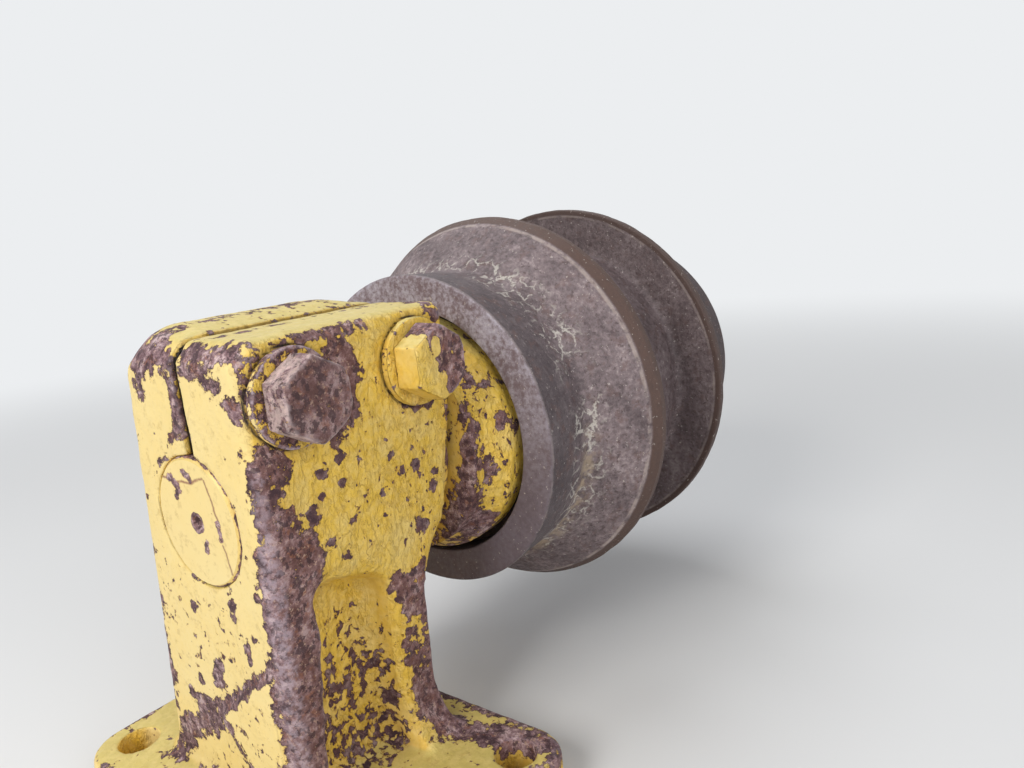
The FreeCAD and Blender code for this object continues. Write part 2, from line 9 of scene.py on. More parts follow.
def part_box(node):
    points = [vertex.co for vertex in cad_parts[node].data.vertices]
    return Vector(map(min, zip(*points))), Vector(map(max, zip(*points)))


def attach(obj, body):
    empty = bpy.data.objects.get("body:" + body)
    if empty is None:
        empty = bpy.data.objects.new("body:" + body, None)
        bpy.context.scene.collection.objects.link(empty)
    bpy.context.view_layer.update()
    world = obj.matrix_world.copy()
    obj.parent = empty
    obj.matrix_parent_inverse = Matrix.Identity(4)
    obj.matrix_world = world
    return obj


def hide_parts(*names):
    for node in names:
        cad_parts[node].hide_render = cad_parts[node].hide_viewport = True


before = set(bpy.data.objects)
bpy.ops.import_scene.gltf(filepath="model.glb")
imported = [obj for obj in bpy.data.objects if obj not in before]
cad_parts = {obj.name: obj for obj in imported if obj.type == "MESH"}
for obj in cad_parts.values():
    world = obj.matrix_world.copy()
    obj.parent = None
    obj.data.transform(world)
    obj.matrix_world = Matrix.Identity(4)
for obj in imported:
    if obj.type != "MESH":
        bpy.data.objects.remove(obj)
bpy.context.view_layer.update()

# Looks of a carrier roller on its clamped bracket: castings, bolts and turned pieces are meshes
# made over the frame's solids, with worn edges, chipped paint, rust and polished steel.
# Sizes are in metres where nothing else is said, and the tables of places are in millimetres.
# The axes are the frame's own: X along the track, +Y inboard, +Z up.

MM = 0.001


def middle(low, high):
    """The middle of a box."""
    return (low + high) / 2


# Places read from the frame.
CAST_LOW, CAST_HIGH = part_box("bracket_casting")
SHAFT_LOW, SHAFT_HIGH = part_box("roller_shaft")
SHELL_LOW, SHELL_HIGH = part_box("roller_shell")
COLLAR_LOW, COLLAR_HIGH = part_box("collar")
AXIS_Z = middle(SHAFT_LOW, SHAFT_HIGH).z
FACE_Y = SHAFT_LOW.y
HEAD_TOP = CAST_HIGH.z
HEAD_BACK = CAST_HIGH.y
ROLLER_START = SHELL_LOW.y
ROLLER_END = SHELL_HIGH.y
HALF_LENGTH = (ROLLER_END - ROLLER_START) / 2

# Sizes of the solids that their boxes don't give. A flank is the cone between tread and flange.
TREAD_LENGTH = 42 * MM
FLANK_START = HALF_LENGTH - TREAD_LENGTH
FLANK_RADIUS = 124 * MM
FLANGE_BACK = ROLLER_START + 85 * MM
SHAFT_RADIUS = 33 * MM
SHAFT_HOLE_RADIUS = 4 * MM
SLIT_X = 4 * MM
SLIT_WIDTH = 4 * MM

# The head's crown beside the slit: how high it rises and how far it reaches across and down.
CROWN_RISE = 5.5 * MM
CROWN_SPREAD = 28 * MM
CROWN_DEPTH = 50 * MM


# Meshes.

def new_piece(name, vertices, faces):
    """A linked mesh object."""
    mesh = bpy.data.meshes.new(name)
    mesh.from_pydata([tuple(v) for v in vertices], [], faces)
    mesh.update()
    piece = bpy.data.objects.new(name, mesh)
    bpy.context.scene.collection.objects.link(piece)
    mesh.shade_smooth()
    return piece


def points_of(mesh):
    """The mesh's vertices as an array."""
    flat = np.empty(len(mesh.vertices) * 3)
    mesh.vertices.foreach_get("co", flat)
    return flat.reshape(-1, 3)


def normals_of(mesh):
    """The mesh's vertex normals as an array."""
    flat = np.empty(len(mesh.vertices) * 3)
    mesh.vertex_normals.foreach_get("vector", flat)
    return flat.reshape(-1, 3)


def move_points(mesh, points):
    """Puts the mesh's vertices at the given points."""
    mesh.vertices.foreach_set("co", points.ravel())
    mesh.update()


def edges_of(mesh):
    """The mesh's edges as pairs of vertex numbers."""
    flat = np.empty(len(mesh.edges) * 2, dtype=np.int64)
    mesh.edges.foreach_get("vertices", flat)
    return flat.reshape(-1, 2)


def relaxed(points, edges, rounds):
    """The points, each drawn halfway to the mean of its neighbours in every round."""
    count = len(points)
    degree = np.bincount(edges.ravel(), minlength=count).astype(float)
    out = points.copy()
    for _ in range(rounds):
        total = np.empty_like(out)
        for axis in range(3):
            along = out[:, axis]
            total[:, axis] = (np.bincount(edges[:, 0], along[edges[:, 1]], count)
                              + np.bincount(edges[:, 1], along[edges[:, 0]], count))
        out += 0.5 * (total / degree[:, None] - out)
    return out


def lumps(points, size, octaves=3):
    """Soft noise at each point, about -1 to 1, with features of the given size."""
    return np.array([noise.fractal(Vector(p) / size, 0.9, 2.0, octaves) for p in points])


def set_field(mesh, name, values):
    """Stores one number a vertex for the materials to read."""
    layer = mesh.attributes.new(name, "FLOAT", "POINT")
    layer.data.foreach_set("value", np.asarray(values, dtype=np.float32))


def convexity(mesh, rounds):
    """How far each vertex stands out of its smoothed surroundings, in millimetres."""
    points = points_of(mesh)
    smoothed = relaxed(points, edges_of(mesh), rounds)
    return ((points - smoothed) * normals_of(mesh)).sum(1) / MM


def remeshed(node, name, voxel, rounds, stretch=1.0):
    """A fine, slightly softened copy of a CAD node's skin. A stretch above 1 refines it along X."""
    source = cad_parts[node].data.copy()
    weld = bmesh.new()
    weld.from_mesh(source)
    bmesh.ops.remove_doubles(weld, verts=weld.verts, dist=1e-6)
    bmesh.ops.scale(weld, vec=(stretch, 1, 1), verts=weld.verts)
    weld.to_mesh(source)
    weld.free()
    maker = bpy.data.objects.new(name + "_maker", source)
    bpy.context.scene.collection.objects.link(maker)
    step = maker.modifiers.new("grid", "REMESH")
    step.mode = "VOXEL"
    step.voxel_size = voxel
    step.adaptivity = 0
    bpy.context.view_layer.update()
    mesh = bpy.data.meshes.new_from_object(maker.evaluated_get(bpy.context.evaluated_depsgraph_get()))
    bpy.data.objects.remove(maker)
    mesh.materials.clear()
    mesh.name = name
    points = points_of(mesh) / np.array((stretch, 1, 1))
    move_points(mesh, relaxed(points, edges_of(mesh), rounds))
    mesh.shade_smooth()
    piece = bpy.data.objects.new(name, mesh)
    bpy.context.scene.collection.objects.link(piece)
    return piece


def dress(piece, body, node, material):
    """Gives a piece its body and its material, and hides the node that it stands for."""
    piece.data.materials.append(material)
    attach(piece, body)
    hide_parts(node)


# Wear fields.

def capsule(points, start, end, radius):
    """1 on the line from start to end, falling to 0 at the radius."""
    a, b = np.array(start) * MM, np.array(end) * MM
    run = b - a
    length = max(run @ run, 1e-12)
    share = np.clip((points - a) @ run / length, 0, 1)
    distance = np.linalg.norm(points - a - share[:, None] * run, axis=1)
    return np.clip(1 - distance / (radius * MM), 0, 1)


def above_axis(points):
    """The points with their heights measured from the roller's axis."""
    return points - np.array((0, 0, AXIS_Z))


def ragged_places(points):
    """The points above the axis, shaken, so that what is placed by them gets a ragged outline."""
    shakes = [lumps(points + offset, 7 * MM) for offset in np.eye(3)]
    return above_axis(points) + 2.6 * MM * np.array(shakes).T


def painted_on(points, strokes):
    """The strongest of the strokes at each point."""
    out = np.zeros(len(points))
    for start, end, radius, weight in strokes:
        out = np.maximum(out, weight * np.clip(1.6 * capsule(points, start, end, radius), 0, 1))
    return out


def chip_strokes(spots):
    """Each chip (x, y, above the axis, radius) as a stroke without length."""
    return [((x, y, z), (x, y, z), radius, 1.0) for x, y, z, radius in spots]


# Bare patches on the casting, as strokes: from, to, radius, weight. Places are in millimetres,
# (across, along, above the roller's axis), and the radius too.
HEAD_RUST = (
    ((-38, -30, 80), (-18, -41, 81), 17, 1.0),
    ((-26, -43, 74), (-30, -43, 64), 9, 0.8),
    ((-12, -43, 84), (-3, -43, 76), 10, 0.85),
    ((-40, 0, 80), (-36, 75, 82), 11, 0.75),
    ((0, -43, 82), (-1, -43, 44), 6.5, 0.85),
    ((-3, -43, 46), (-14, -43, 36), 5, 0.6),
    ((-14, -43, 36), (-30, -43, 22), 6, 0.5),
    ((10, -42, 84), (48, -41, 84), 10, 0.95),
    ((14, -43, 78), (36, -43, 69), 9, 0.72),
    ((36, -43, 69), (48, -42, 57), 8, 0.75),
    ((54, -37, 80), (54, -38, 64), 9, 0.7),
    ((54, 12, 76), (54, 18, 60), 11, 0.95),
    ((54, 18, 60), (53, 15, 42), 8, 0.85),
    ((53, 14, 40), (53, 4, 33), 9, 0.8),
    ((53, -33, 36), (53, -28, 27), 11, 0.85),
    ((53, 52, 37), (53, 67, 36), 5, 0.8),
    ((54, 16, 42), (54, 19, 38), 4, 0.8),
    ((54, -20, 84), (54, 30, 85), 7, 0.75),
    ((50, 80, 84), (30, 84, 85), 10, 0.8),
    ((20, -30, 87), (14, 70, 87), 6, 0.52),
    ((-14, -30, 87), (-20, 70, 87), 8, 0.55),
    ((50, 84, 36), (48, 85, -18), 7, 0.8),
)
COLUMN_RUST = (
    ((52, -41, 30), (51, -41, -10), 9, 0.95),
    ((51, -40, -10), (48, -41, -60), 13, 1.1),
    ((48, -41, -60), (46, -42, -160), 15, 1.1),
    ((52, -34, 6), (51, -26, -14), 13, 1.0),
    ((51, -25, -14), (50, -26, -60), 19, 1.1),
    ((50, -28, -60), (48, -30, -160), 18, 1.1),
    ((42, -45, -66), (-14, -45, -105), 7, 0.95),
    ((-14, -45, -105), (24, -45, -150), 9, 0.8),
    ((-56, -40, -50), (-66, -40, -120), 9, 0.6),
    ((-62, -42, -54), (-60, -42, -100), 9, 1.0),
    ((-36, -43, -105), (-14, -43, -107), 8, 0.85),
    ((-16, -43, -110), (-50, -43, -128), 11, 0.72),
    ((-50, -43, -128), (-68, -43, -150), 13, 0.85),
    ((49, 36, -57), (49, 43, -76), 12, 1.0),
    ((49, 50, -55), (48, 51, -125), 8, 0.9),
    ((48, 37, -92), (48, 43, -128), 12, 0.8),
    ((48, 44, -124), (58, 48, -146), 16, 1.15),
    ((58, 48, -146), (112, 64, -152), 14, 1.1),
)
FOOT_RUST = (
    ((-125, -75, -152), (125, -75, -152), 9, 0.6),
    ((125, -75, -152), (125, 75, -152), 12, 0.8),
    ((-125, 75, -152), (125, 75, -152), 12, 0.8),
    ((-125, -75, -152), (-125, 75, -152), 10, 0.7),
)
# Single chips on the head's bolt side, which lies this far across: along, above the axis, radius.
SIDE_X = 52
SIDE_CHIPS = (
    (20, 40, 5), (5, 23, 7), (-6, 19, 5.5), (6, 10, 5), (-9, 7, 4), (55, 4, 5.5), (37, 14, 4),
    (37, 22, 3), (31, -3, 4), (44, 4, 3.5), (66, -12, 5.5), (68, -4, 5), (55, -31, 8), (8, -10, 4.5),
    (3, -26, 6), (-7, -16, 4.5), (13, -22, 3), (29, -16, 3.5), (-15, 1, 7.5), (-33, 17, 6),
    (44, -54, 5), (60, 36, 5), (70, 33, 6),
)
# Chips on the casting's outboard face, which lies this far along: across, above the axis, radius.
FRONT_Y = -43
FRONT_CHIPS = (
    (-21, -48, 5.5), (-4, -45, 3), (16, -40, 4.5), (15, -46, 4.5), (-55, -24, 6), (-57, -31, 5),
    (22, -62, 5), (23, -68, 5), (-28, -92, 5), (-39, -103, 7), (-33, -109, 8), (-6, -78, 7),
    (-9, -86, 9), (39, -32, 4), (41, -39, 4), (-44, 8, 3), (-48, 54, 5), (-50, 32, 3),
)
# Chips in the bolt side pocket and on its rim: across, along, above the axis, radius.
POCKET_CHIPS = (
    (40, 8, -76, 7), (38, 12, -84, 7), (39, 3, -80, 4), (38, 10, -95, 6), (37, 14, -104, 5),
    (38, 19, -99, 4), (38, -4, -92, 5), (38, -8, -104, 6), (37, 2, -110, 6), (38, -10, -116, 6),
    (36, 20, -116, 7), (36, 26, -124, 7), (37, 6, -132, 8), (37, -6, -134, 7), (46, 28, -60, 4),
)
# Bare patches on the collar, as strokes.
COLLAR_RUST = (
    ((62, 90, 25), (62, 90, 12), 10, 0.9),
    ((63, 86, 6), (58, 86, -20), 10, 1.0),
    ((66, 98, -9), (66, 98, -15), 8, 0.9),
    ((55, 99, 43), (55, 99, 37), 6, 0.85),
    ((71, 106, 19), (71, 106, 12), 6, 0.85),
    ((54, 86, -25), (44, 92, -50), 16, 1.0),
    ((51, 101, -44), (42, 104, -58), 13, 0.95),
    ((40, 88, 56), (20, 88, 66), 9, 0.8),
)
# Where small flecks are dense, as strokes.
FLECKS = (
    ((34, 4, -90), (34, 0, -105), 36, 0.85),
    ((34, 4, -108), (34, 0, -155), 36, 1.02),
    ((34, 24, -104), (34, 24, -150), 18, 1.0),
    ((52, 20, 20), (52, 50, -10), 60, 0.32),
    ((-20, -43, -60), (20, -43, -120), 60, 0.4),
    ((-43, -20, 87), (0, 80, 87), 40, 0.5),
    ((0, 60, -150), (0, -60, -150), 130, 0.4),
)
# Edges that are worn rounder, as from, to, radius: the brow over the bolt side pocket, the
# pocket's inboard rim, and the head's top edges.
SOFT_EDGES = (
    ((49, -10, -38), (49, 28, -50), 20),
    ((48, 27, -60), (48, 27, -140), 9),
    ((-50, -43, 87), (-6, -43, 87), 13),
    ((14, -43, 87), (54, -43, 87), 11),
    ((-54, -40, 87), (-54, 70, 87), 14),
)
# The bright line where the column's outboard corner is rubbed bare and carries a painted highlight, as
# strokes.
BRIGHT_ARRIS = (
    ((50, -40, 26), (48.5, -40, 0), 6, 0.56),
    ((48.5, -40, 0), (46.7, -40, -60), 9, 0.64),
    ((46.7, -40, -60), (45, -40, -165), 9, 0.64),
)


def smooth(share):
    """The share, clipped to 0 to 1, with soft ends."""
    share = np.clip(share, 0, 1)
    return share * share * (3 - 2 * share)


def crown(points):
    """How far the head's top stands up beside the slit, on the nut side."""
    x, y, z = points.T
    across = 1 - (1 - np.clip((SLIT_X - x) / CROWN_SPREAD, 0, 1)) ** 2
    along = smooth((y - FACE_Y - 1 * MM) / (24 * MM)) * smooth((HEAD_BACK + 4 * MM - y) / (30 * MM))
    return CROWN_RISE * across * along * smooth((z - HEAD_TOP + CROWN_DEPTH) / CROWN_DEPTH)


def slit_shade(points):
    """Painted shade: 1 on the clamp slit's walls, behind the outboard face, and most of it on its top
    lips.
    """
    x, y, z = points.T
    behind, below = y - FACE_Y, HEAD_TOP - z
    within = (np.abs(x - SLIT_X) < 0.75 * SLIT_WIDTH) & (z > AXIS_Z)
    deep = np.clip((behind - 1.5 * MM) / (2 * MM), 0, 1) * np.clip((below - 1.5 * MM) / (2 * MM), 0, 1)
    lips = (np.abs(x - SLIT_X) < 0.8 * SLIT_WIDTH) & (below < 4 * MM)
    return np.maximum(within * deep, 0.7 * lips * np.clip((behind - 16 * MM) / (6 * MM), 0, 1))


def seat_shade(points):
    """Painted shade: 1 in a thin line about each washer's rim, where the washer meets the casting."""
    out = np.zeros(len(points))
    for node in ("head_washer_outboard", "head_washer_inboard"):
        low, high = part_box(node)
        centre = middle(low, high)
        reach = np.hypot(points[:, 1] - centre.y, points[:, 2] - centre.z) - (high.y - low.y) / 2
        beside = np.abs(points[:, 0] - low.x) < 3 * MM
        out = np.maximum(out, beside * np.clip(1 - np.abs(reach) / (2.4 * MM), 0, 1))
    return out


def soften_edges(mesh):
    """Rounds the casting's worn edges."""
    points = points_of(mesh)
    softer = relaxed(points, edges_of(mesh), 70)
    placed = above_axis(points)
    for start, end, radius in SOFT_EDGES:
        share = np.clip(1.8 * capsule(placed, start, end, radius), 0, 1)[:, None]
        points += share * (softer - points)
    move_points(mesh, points)


def roughen(mesh):
    """Gives the casting the uneven skin of a sand mould, never outside its solid's box."""
    points = points_of(mesh)
    shift = 0.3 * MM * lumps(points, 14 * MM) + 0.12 * MM * lumps(points, 4 * MM, 2) - 0.3 * MM
    points += shift[:, None] * normals_of(mesh)
    move_points(mesh, np.clip(points, CAST_LOW, CAST_HIGH))


def set_casting_fields(mesh):
    """Where the casting is worn, chipped and rubbed bright, with a painted highlight on the arris,
    where it is darker in the hollows, and where painted shade goes.
    """
    points = points_of(mesh)
    placed = ragged_places(points)
    stands_out = convexity(mesh, 40)
    edges = np.clip(stands_out / 2.2, 0, 1)
    side = chip_strokes([(SIDE_X, y, z, radius) for y, z, radius in SIDE_CHIPS] + list(POCKET_CHIPS))
    front = chip_strokes([(x, FRONT_Y, z, radius) for x, z, radius in FRONT_CHIPS])
    bare = painted_on(placed, HEAD_RUST + COLUMN_RUST + FOOT_RUST + tuple(side + front))
    set_field(mesh, "wear", np.maximum(0.4 * edges, bare))
    set_field(mesh, "chips", painted_on(placed, side))
    set_field(mesh, "arris", np.maximum(0.6 * edges, painted_on(placed, BRIGHT_ARRIS)))
    set_field(mesh, "flecks", painted_on(placed, FLECKS))
    # Darker and browner in the hollows; painted shade on the slit's walls and lips and about each
    # washer.
    hollow = 0.5 * np.clip(-stands_out / 3, 0, 1)
    set_field(mesh, "painted_shade_and_hollows", np.maximum(hollow, np.maximum(slit_shade(points), seat_shade(points))))


def make_casting(material):
    """The bracket: sand-cast skin with soft edges."""
    piece = remeshed("bracket_casting", "bracket_skin", 1.85 * MM, 3, 1.28)
    mesh = piece.data
    soften_edges(mesh)
    roughen(mesh)
    set_casting_fields(mesh)
    points = points_of(mesh)
    points[:, 2] += crown(points)
    move_points(mesh, points)
    dress(piece, "bracket", "bracket_casting", material)


def rounded(profile):
    """The profile's points, with each corner's own radius rounded off."""
    out = []
    count = len(profile)
    for index in range(count):
        corner = Vector(profile[index][:2])
        radius = profile[index][2]
        before = Vector(profile[index - 1][:2]) - corner
        after = Vector(profile[(index + 1) % count][:2]) - corner
        if radius <= 0:
            out.append(corner)
            continue
        turn = before.angle(after)
        reach = min(radius / math.tan(turn / 2), 0.45 * before.length, 0.45 * after.length)
        first, last = corner + before.normalized() * reach, corner + after.normalized() * reach
        for step in range(7):
            t = step / 6
            out.append((1 - t) ** 2 * first + 2 * t * (1 - t) * corner + t ** 2 * last)
    return out


def filled_in(points, gap, bore):
    """The same closed line with points no further apart than the gap, or 12 gaps in the bore."""
    out = []
    for index, here in enumerate(points):
        following = points[(index + 1) % len(points)]
        reach = 12 * gap if max(here.x, following.x) < bore else gap
        parts = max(1, math.ceil((following - here).length / reach))
        out += [here.lerp(following, part / parts) for part in range(parts)]
    return out


def lathe(name, profile, gap, segments, bore=0.0):
    """A closed ring about the roller's axis. The profile's points are (radius, y, rounding)."""
    line = filled_in(rounded(profile), gap, bore)
    count = len(line)
    vertices, faces = [], []
    for step in range(segments):
        angle = 2 * math.pi * step / segments
        vertices += [(p.x * math.sin(angle), p.y, AXIS_Z + p.x * math.cos(angle)) for p in line]
    for step in range(segments):
        here, there = step * count, (step + 1) % segments * count
        faces += [(there + k, there + (k + 1) % count, here + (k + 1) % count, here + k)
                  for k in range(count)]
    return new_piece(name, vertices, faces)


# The roller's outline in millimetres, one half, as (radius, along from its end face, rounding).
HALF_ROLLER = (
    (100.0, 0.0, 2.2),
    (98.2, 20.0, 30.0),
    (97.5, 42.0, 6.0),
    (124.0, 70.0, 1.4),
    (129.0, 79.0, 1.2),
    (129.0, 85.0, 1.8),
    (97.0, 85.0, 6.0),
)
# Its inside in the same columns, from the inboard end: cover seat, bore, room for the seal.
ROLLER_INSIDE = (
    (70.3, 256.0, 1.2),
    (70.3, 246.0, 0.0),
    (40.05, 246.0, 0.0),
    (40.05, 18.0, 0.0),
    (79.0, 18.0, 1.5),
    (79.0, 0.0, 1.5),
)


# Inside this radius nothing shows, so the roller's faces are longer there.
BORE_RADIUS = 77 * MM


def make_roller(material):
    """The roller: two worn treads, two guide flanges and the waist between them."""
    length = (ROLLER_END - ROLLER_START) / MM
    outline = list(HALF_ROLLER) + [(r, length - y, c) for r, y, c in reversed(HALF_ROLLER)]
    outline += list(ROLLER_INSIDE)
    profile = [(r * MM, ROLLER_START + y * MM, c * MM) for r, y, c in outline]
    piece = lathe("roller_skin", profile, 2.6 * MM, 360, BORE_RADIUS)
    mesh = piece.data
    points = points_of(mesh)
    radius = np.hypot(points[:, 0], points[:, 2] - AXIS_Z)
    outer = np.clip((radius - 90 * MM) / (5 * MM), 0, 1)
    dents = np.minimum(lumps(points, 11 * MM), 0.15) - 0.15
    rim = np.clip((radius - 120 * MM) / (6 * MM), 0, 1)
    waves = np.minimum(lumps(points, 25 * MM) - 0.8, 0)
    shift = outer * (0.1 * MM * waves + 0.3 * MM * dents * (0.3 + rim))
    points += shift[:, None] * normals_of(mesh)
    move_points(mesh, points)
    set_field(mesh, "wear", np.clip(convexity(mesh, 12) / 0.8, 0, 1))
    dress(piece, "roller", "roller_shell", material)


def make_collar(material):
    """The collar between the clamp head and the roller."""
    low, high = COLLAR_LOW.y, COLLAR_HIGH.y
    outline = ((33.05, low, 0.0), (66.0, low, 1.0), (66.0, low + 10 * MM, 5.0),
               (74.5, ROLLER_START - 4 * MM, 2.5), (74.5, high, 1.0), (33.05, high, 0.0))
    profile = [(r * MM, y, c * MM) for r, y, c in outline]
    piece = lathe("collar_skin", profile, 2.0 * MM, 300)
    mesh = piece.data
    points = points_of(mesh)
    radius = np.hypot(points[:, 0], points[:, 2] - AXIS_Z)
    outer = np.clip((radius - 60 * MM) / (5 * MM), 0, 1)
    points += (0.2 * MM * outer * (lumps(points, 12 * MM) - 0.8))[:, None] * normals_of(mesh)
    move_points(mesh, points)
    under = np.clip((-30 * MM - above_axis(points)[:, 2]) / (30 * MM), 0, 1)
    bare = painted_on(ragged_places(points), COLLAR_RUST)
    set_field(mesh, "wear", np.maximum(0.15 + 0.5 * under, bare))
    set_field(mesh, "flecks", np.full(len(points), 0.55))
    # Painted shade on the collar next to the clamp head, darkest where they meet.
    set_field(mesh, "painted_shade_and_hollows", 0.5 * np.clip((HEAD_BACK + 8 * MM - points[:, 1]) / (8 * MM), 0, 1))
    dress(piece, "bracket", "collar", material)


def make_fastener(node, name, wear_of, material):
    """A bolt or washer, its corners worn round."""
    piece = remeshed(node, name, 0.8 * MM, 3)
    mesh = piece.data
    points = points_of(mesh)
    shift = 0.3 * MM * (lumps(points, 5 * MM, 4) - 0.8)
    points += shift[:, None] * normals_of(mesh)
    move_points(mesh, np.clip(points, *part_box(node)))
    stands_out = np.clip(convexity(mesh, 20) / 0.8, 0, 1)
    set_field(mesh, "wear", wear_of(points_of(mesh)) + 0.3 * stands_out)
    set_field(mesh, "arris", stands_out)
    dress(piece, "bracket", node, material)


# Materials.

class Finish:
    """A node material that is written as a formula."""

    def __init__(self, name):
        self.material = bpy.data.materials.new(name)
        self.material.use_nodes = True
        self.tree = self.material.node_tree
        self.shader = self.tree.nodes["Principled BSDF"]

    def put(self, socket, value):
        """Links a socket, or sets its constant."""
        if isinstance(value, bpy.types.NodeSocket):
            self.tree.links.new(value, socket)
        elif value is not None:
            socket.default_value = value

    def add(self, kind, **settings):
        """A node with some of its settings."""
        item = self.tree.nodes.new(kind)
        for key, value in settings.items():
            setattr(item, key, value)
        return item

    def maths(self, operation, a, b=None):
        """A sum of two numbers, or of one."""
        item = self.add("ShaderNodeMath", operation=operation)
        self.put(item.inputs[0], a)
        self.put(item.inputs[1], b)
        return item.outputs[0]

    def plus(self, a, b):
        return self.maths("ADD", a, b)

    def times(self, a, b):
        return self.maths("MULTIPLY", a, b)

    def step(self, value, low, high):
        """0 below low, 1 above high, smooth between."""
        item = self.add("ShaderNodeMapRange", interpolation_type="SMOOTHSTEP")
        self.put(item.inputs["Value"], value)
        self.put(item.inputs["From Min"], low)
        self.put(item.inputs["From Max"], high)
        return item.outputs["Result"]

    def local(self):
        """The point on the piece, in its own frame."""
        return self.add("ShaderNodeTexCoord").outputs["Object"]

    def facing(self):
        """The surface's direction, in the piece's own frame."""
        parts = self.add("ShaderNodeSeparateXYZ")
        self.put(parts.inputs[0], self.add("ShaderNodeTexCoord").outputs["Normal"])
        return parts.outputs

    def split(self, vector):
        """The vector's x, y and z."""
        parts = self.add("ShaderNodeSeparateXYZ")
        self.put(parts.inputs[0], vector)
        return parts.outputs

    def joined(self, x, y, z):
        """The vector of x, y and z."""
        item = self.add("ShaderNodeCombineXYZ")
        for socket, value in zip(item.inputs, (x, y, z)):
            self.put(socket, value)
        return item.outputs[0]

    def stretched(self, vector, x, y, z):
        """The vector times a constant for each axis."""
        item = self.add("ShaderNodeVectorMath", operation="MULTIPLY")
        self.put(item.inputs[0], vector)
        item.inputs[1].default_value = (x, y, z)
        return item.outputs[0]

    def moved(self, vector, x, y, z):
        """The vector moved by a constant in metres, for noise that differs from the rest."""
        item = self.add("ShaderNodeVectorMath", operation="ADD")
        self.put(item.inputs[0], vector)
        item.inputs[1].default_value = (x, y, z)
        return item.outputs[0]

    def pushed(self, vector, amount):
        """The vector moved along x by an amount."""
        item = self.add("ShaderNodeVectorMath", operation="ADD")
        self.put(item.inputs[0], vector)
        self.put(item.inputs[1], self.joined(amount, 0.0, 0.0))
        return item.outputs[0]

    def shaken(self, vector, size, amount):
        """The vector shaken by noise of a size in millimetres, by an amount in metres."""
        item = self.add("ShaderNodeTexNoise")
        self.put(item.inputs["Vector"], vector)
        item.inputs["Scale"].default_value = 1 / (size * MM)
        item.inputs["Detail"].default_value = 4
        moved = self.add("ShaderNodeVectorMath", operation="MULTIPLY_ADD")
        self.put(moved.inputs[0], item.outputs["Color"])
        moved.inputs[1].default_value = (amount,) * 3
        self.put(moved.inputs[2], self.moved(vector, -amount / 2, -amount / 2, -amount / 2))
        return moved.outputs[0]

    def without(self, value):
        """1 less the value."""
        return self.maths("SUBTRACT", 1.0, value)

    def larger(self, a, b):
        return self.maths("MAXIMUM", a, b)

    def noise(self, vector, size, detail=3.0, rough=0.5, swirl=0.0):
        """Noise from 0 to 1 with features of about this size in millimetres."""
        item = self.add("ShaderNodeTexNoise")
        self.put(item.inputs["Vector"], vector)
        item.inputs["Scale"].default_value = 1 / (size * MM)
        item.inputs["Detail"].default_value = detail
        item.inputs["Roughness"].default_value = rough
        item.inputs["Distortion"].default_value = swirl
        return item.outputs["Fac"]

    def cracks(self, vector, size):
        """The distance to the borders of irregular cells, in cell sizes."""
        item = self.add("ShaderNodeTexVoronoi", feature="DISTANCE_TO_EDGE")
        self.put(item.inputs["Vector"], vector)
        item.inputs["Scale"].default_value = 1 / (size * MM)
        return item.outputs["Distance"]

    def vectors(self, operation, a, b):
        """A sum of two vectors."""
        item = self.add("ShaderNodeVectorMath", operation=operation)
        self.put(item.inputs[0], a)
        self.put(item.inputs[1], b)
        return item.outputs["Value" if operation in ("DOT_PRODUCT", "LENGTH") else "Vector"]

    def stroke(self, vector, start, end, reach):
        """1 on the line from start to end, in metres, falling to 0 at the reach."""
        run = Vector(end) - Vector(start)
        from_start = self.vectors("SUBTRACT", vector, tuple(start))
        share = self.vectors("DOT_PRODUCT", from_start, tuple(run / run.length_squared))
        share = self.maths("MINIMUM", self.larger(share, 0.0), 1.0)
        on_line = self.add("ShaderNodeVectorMath", operation="SCALE")
        on_line.inputs[0].default_value = run
        self.put(on_line.inputs["Scale"], share)
        beside = self.vectors("SUBTRACT", from_start, on_line.outputs["Vector"])
        return self.without(self.step(self.vectors("LENGTH", beside, (0, 0, 0)), 0.0, reach))

    def field(self, name):
        """A number stored on the mesh."""
        return self.add("ShaderNodeAttribute", attribute_name=name).outputs["Fac"]

    def mix(self, factor, a, b):
        """From colour a to colour b."""
        item = self.add("ShaderNodeMix", data_type="RGBA")
        self.put(item.inputs["Factor"], factor)
        self.put(item.inputs["A"], a)
        self.put(item.inputs["B"], b)
        return item.outputs["Result"]

    def blend(self, factor, a, b):
        """From number a to number b."""
        item = self.add("ShaderNodeMix", data_type="FLOAT")
        self.put(item.inputs["Factor"], factor)
        self.put(item.inputs["A"], a)
        self.put(item.inputs["B"], b)
        return item.outputs["Result"]

    def ramp(self, value, stops):
        """A colour for each value: stops are (place, colour)."""
        item = self.add("ShaderNodeValToRGB")
        self.put(item.inputs[0], value)
        band = item.color_ramp
        while len(band.elements) < len(stops):
            band.elements.new(0.5)
        for element, (place, colour) in zip(band.elements, stops):
            element.position = place
            element.color = colour
        return item.outputs["Color"]

    def relief(self, height, distance):
        """A bumped normal. The distance is in metres."""
        item = self.add("ShaderNodeBump")
        item.inputs["Strength"].default_value = 1.0
        item.inputs["Distance"].default_value = distance
        self.put(item.inputs["Height"], height)
        return item.outputs["Normal"]

    def finish(self, colour, roughness, metallic, normal):
        """Sets the shader's inputs."""
        self.put(self.shader.inputs["Base Color"], colour)
        self.put(self.shader.inputs["Roughness"], roughness)
        self.put(self.shader.inputs["Metallic"], metallic)
        self.put(self.shader.inputs["Normal"], normal)
        return self.material


def seen(red, green, blue):
    """A colour written as it shows on a screen, 0 to 255, for a shader."""
    def linear(part):
        part /= 255
        return part / 12.92 if part <= 0.04045 else ((part + 0.055) / 1.055) ** 2.4
    return (linear(red), linear(green), linear(blue), 1)


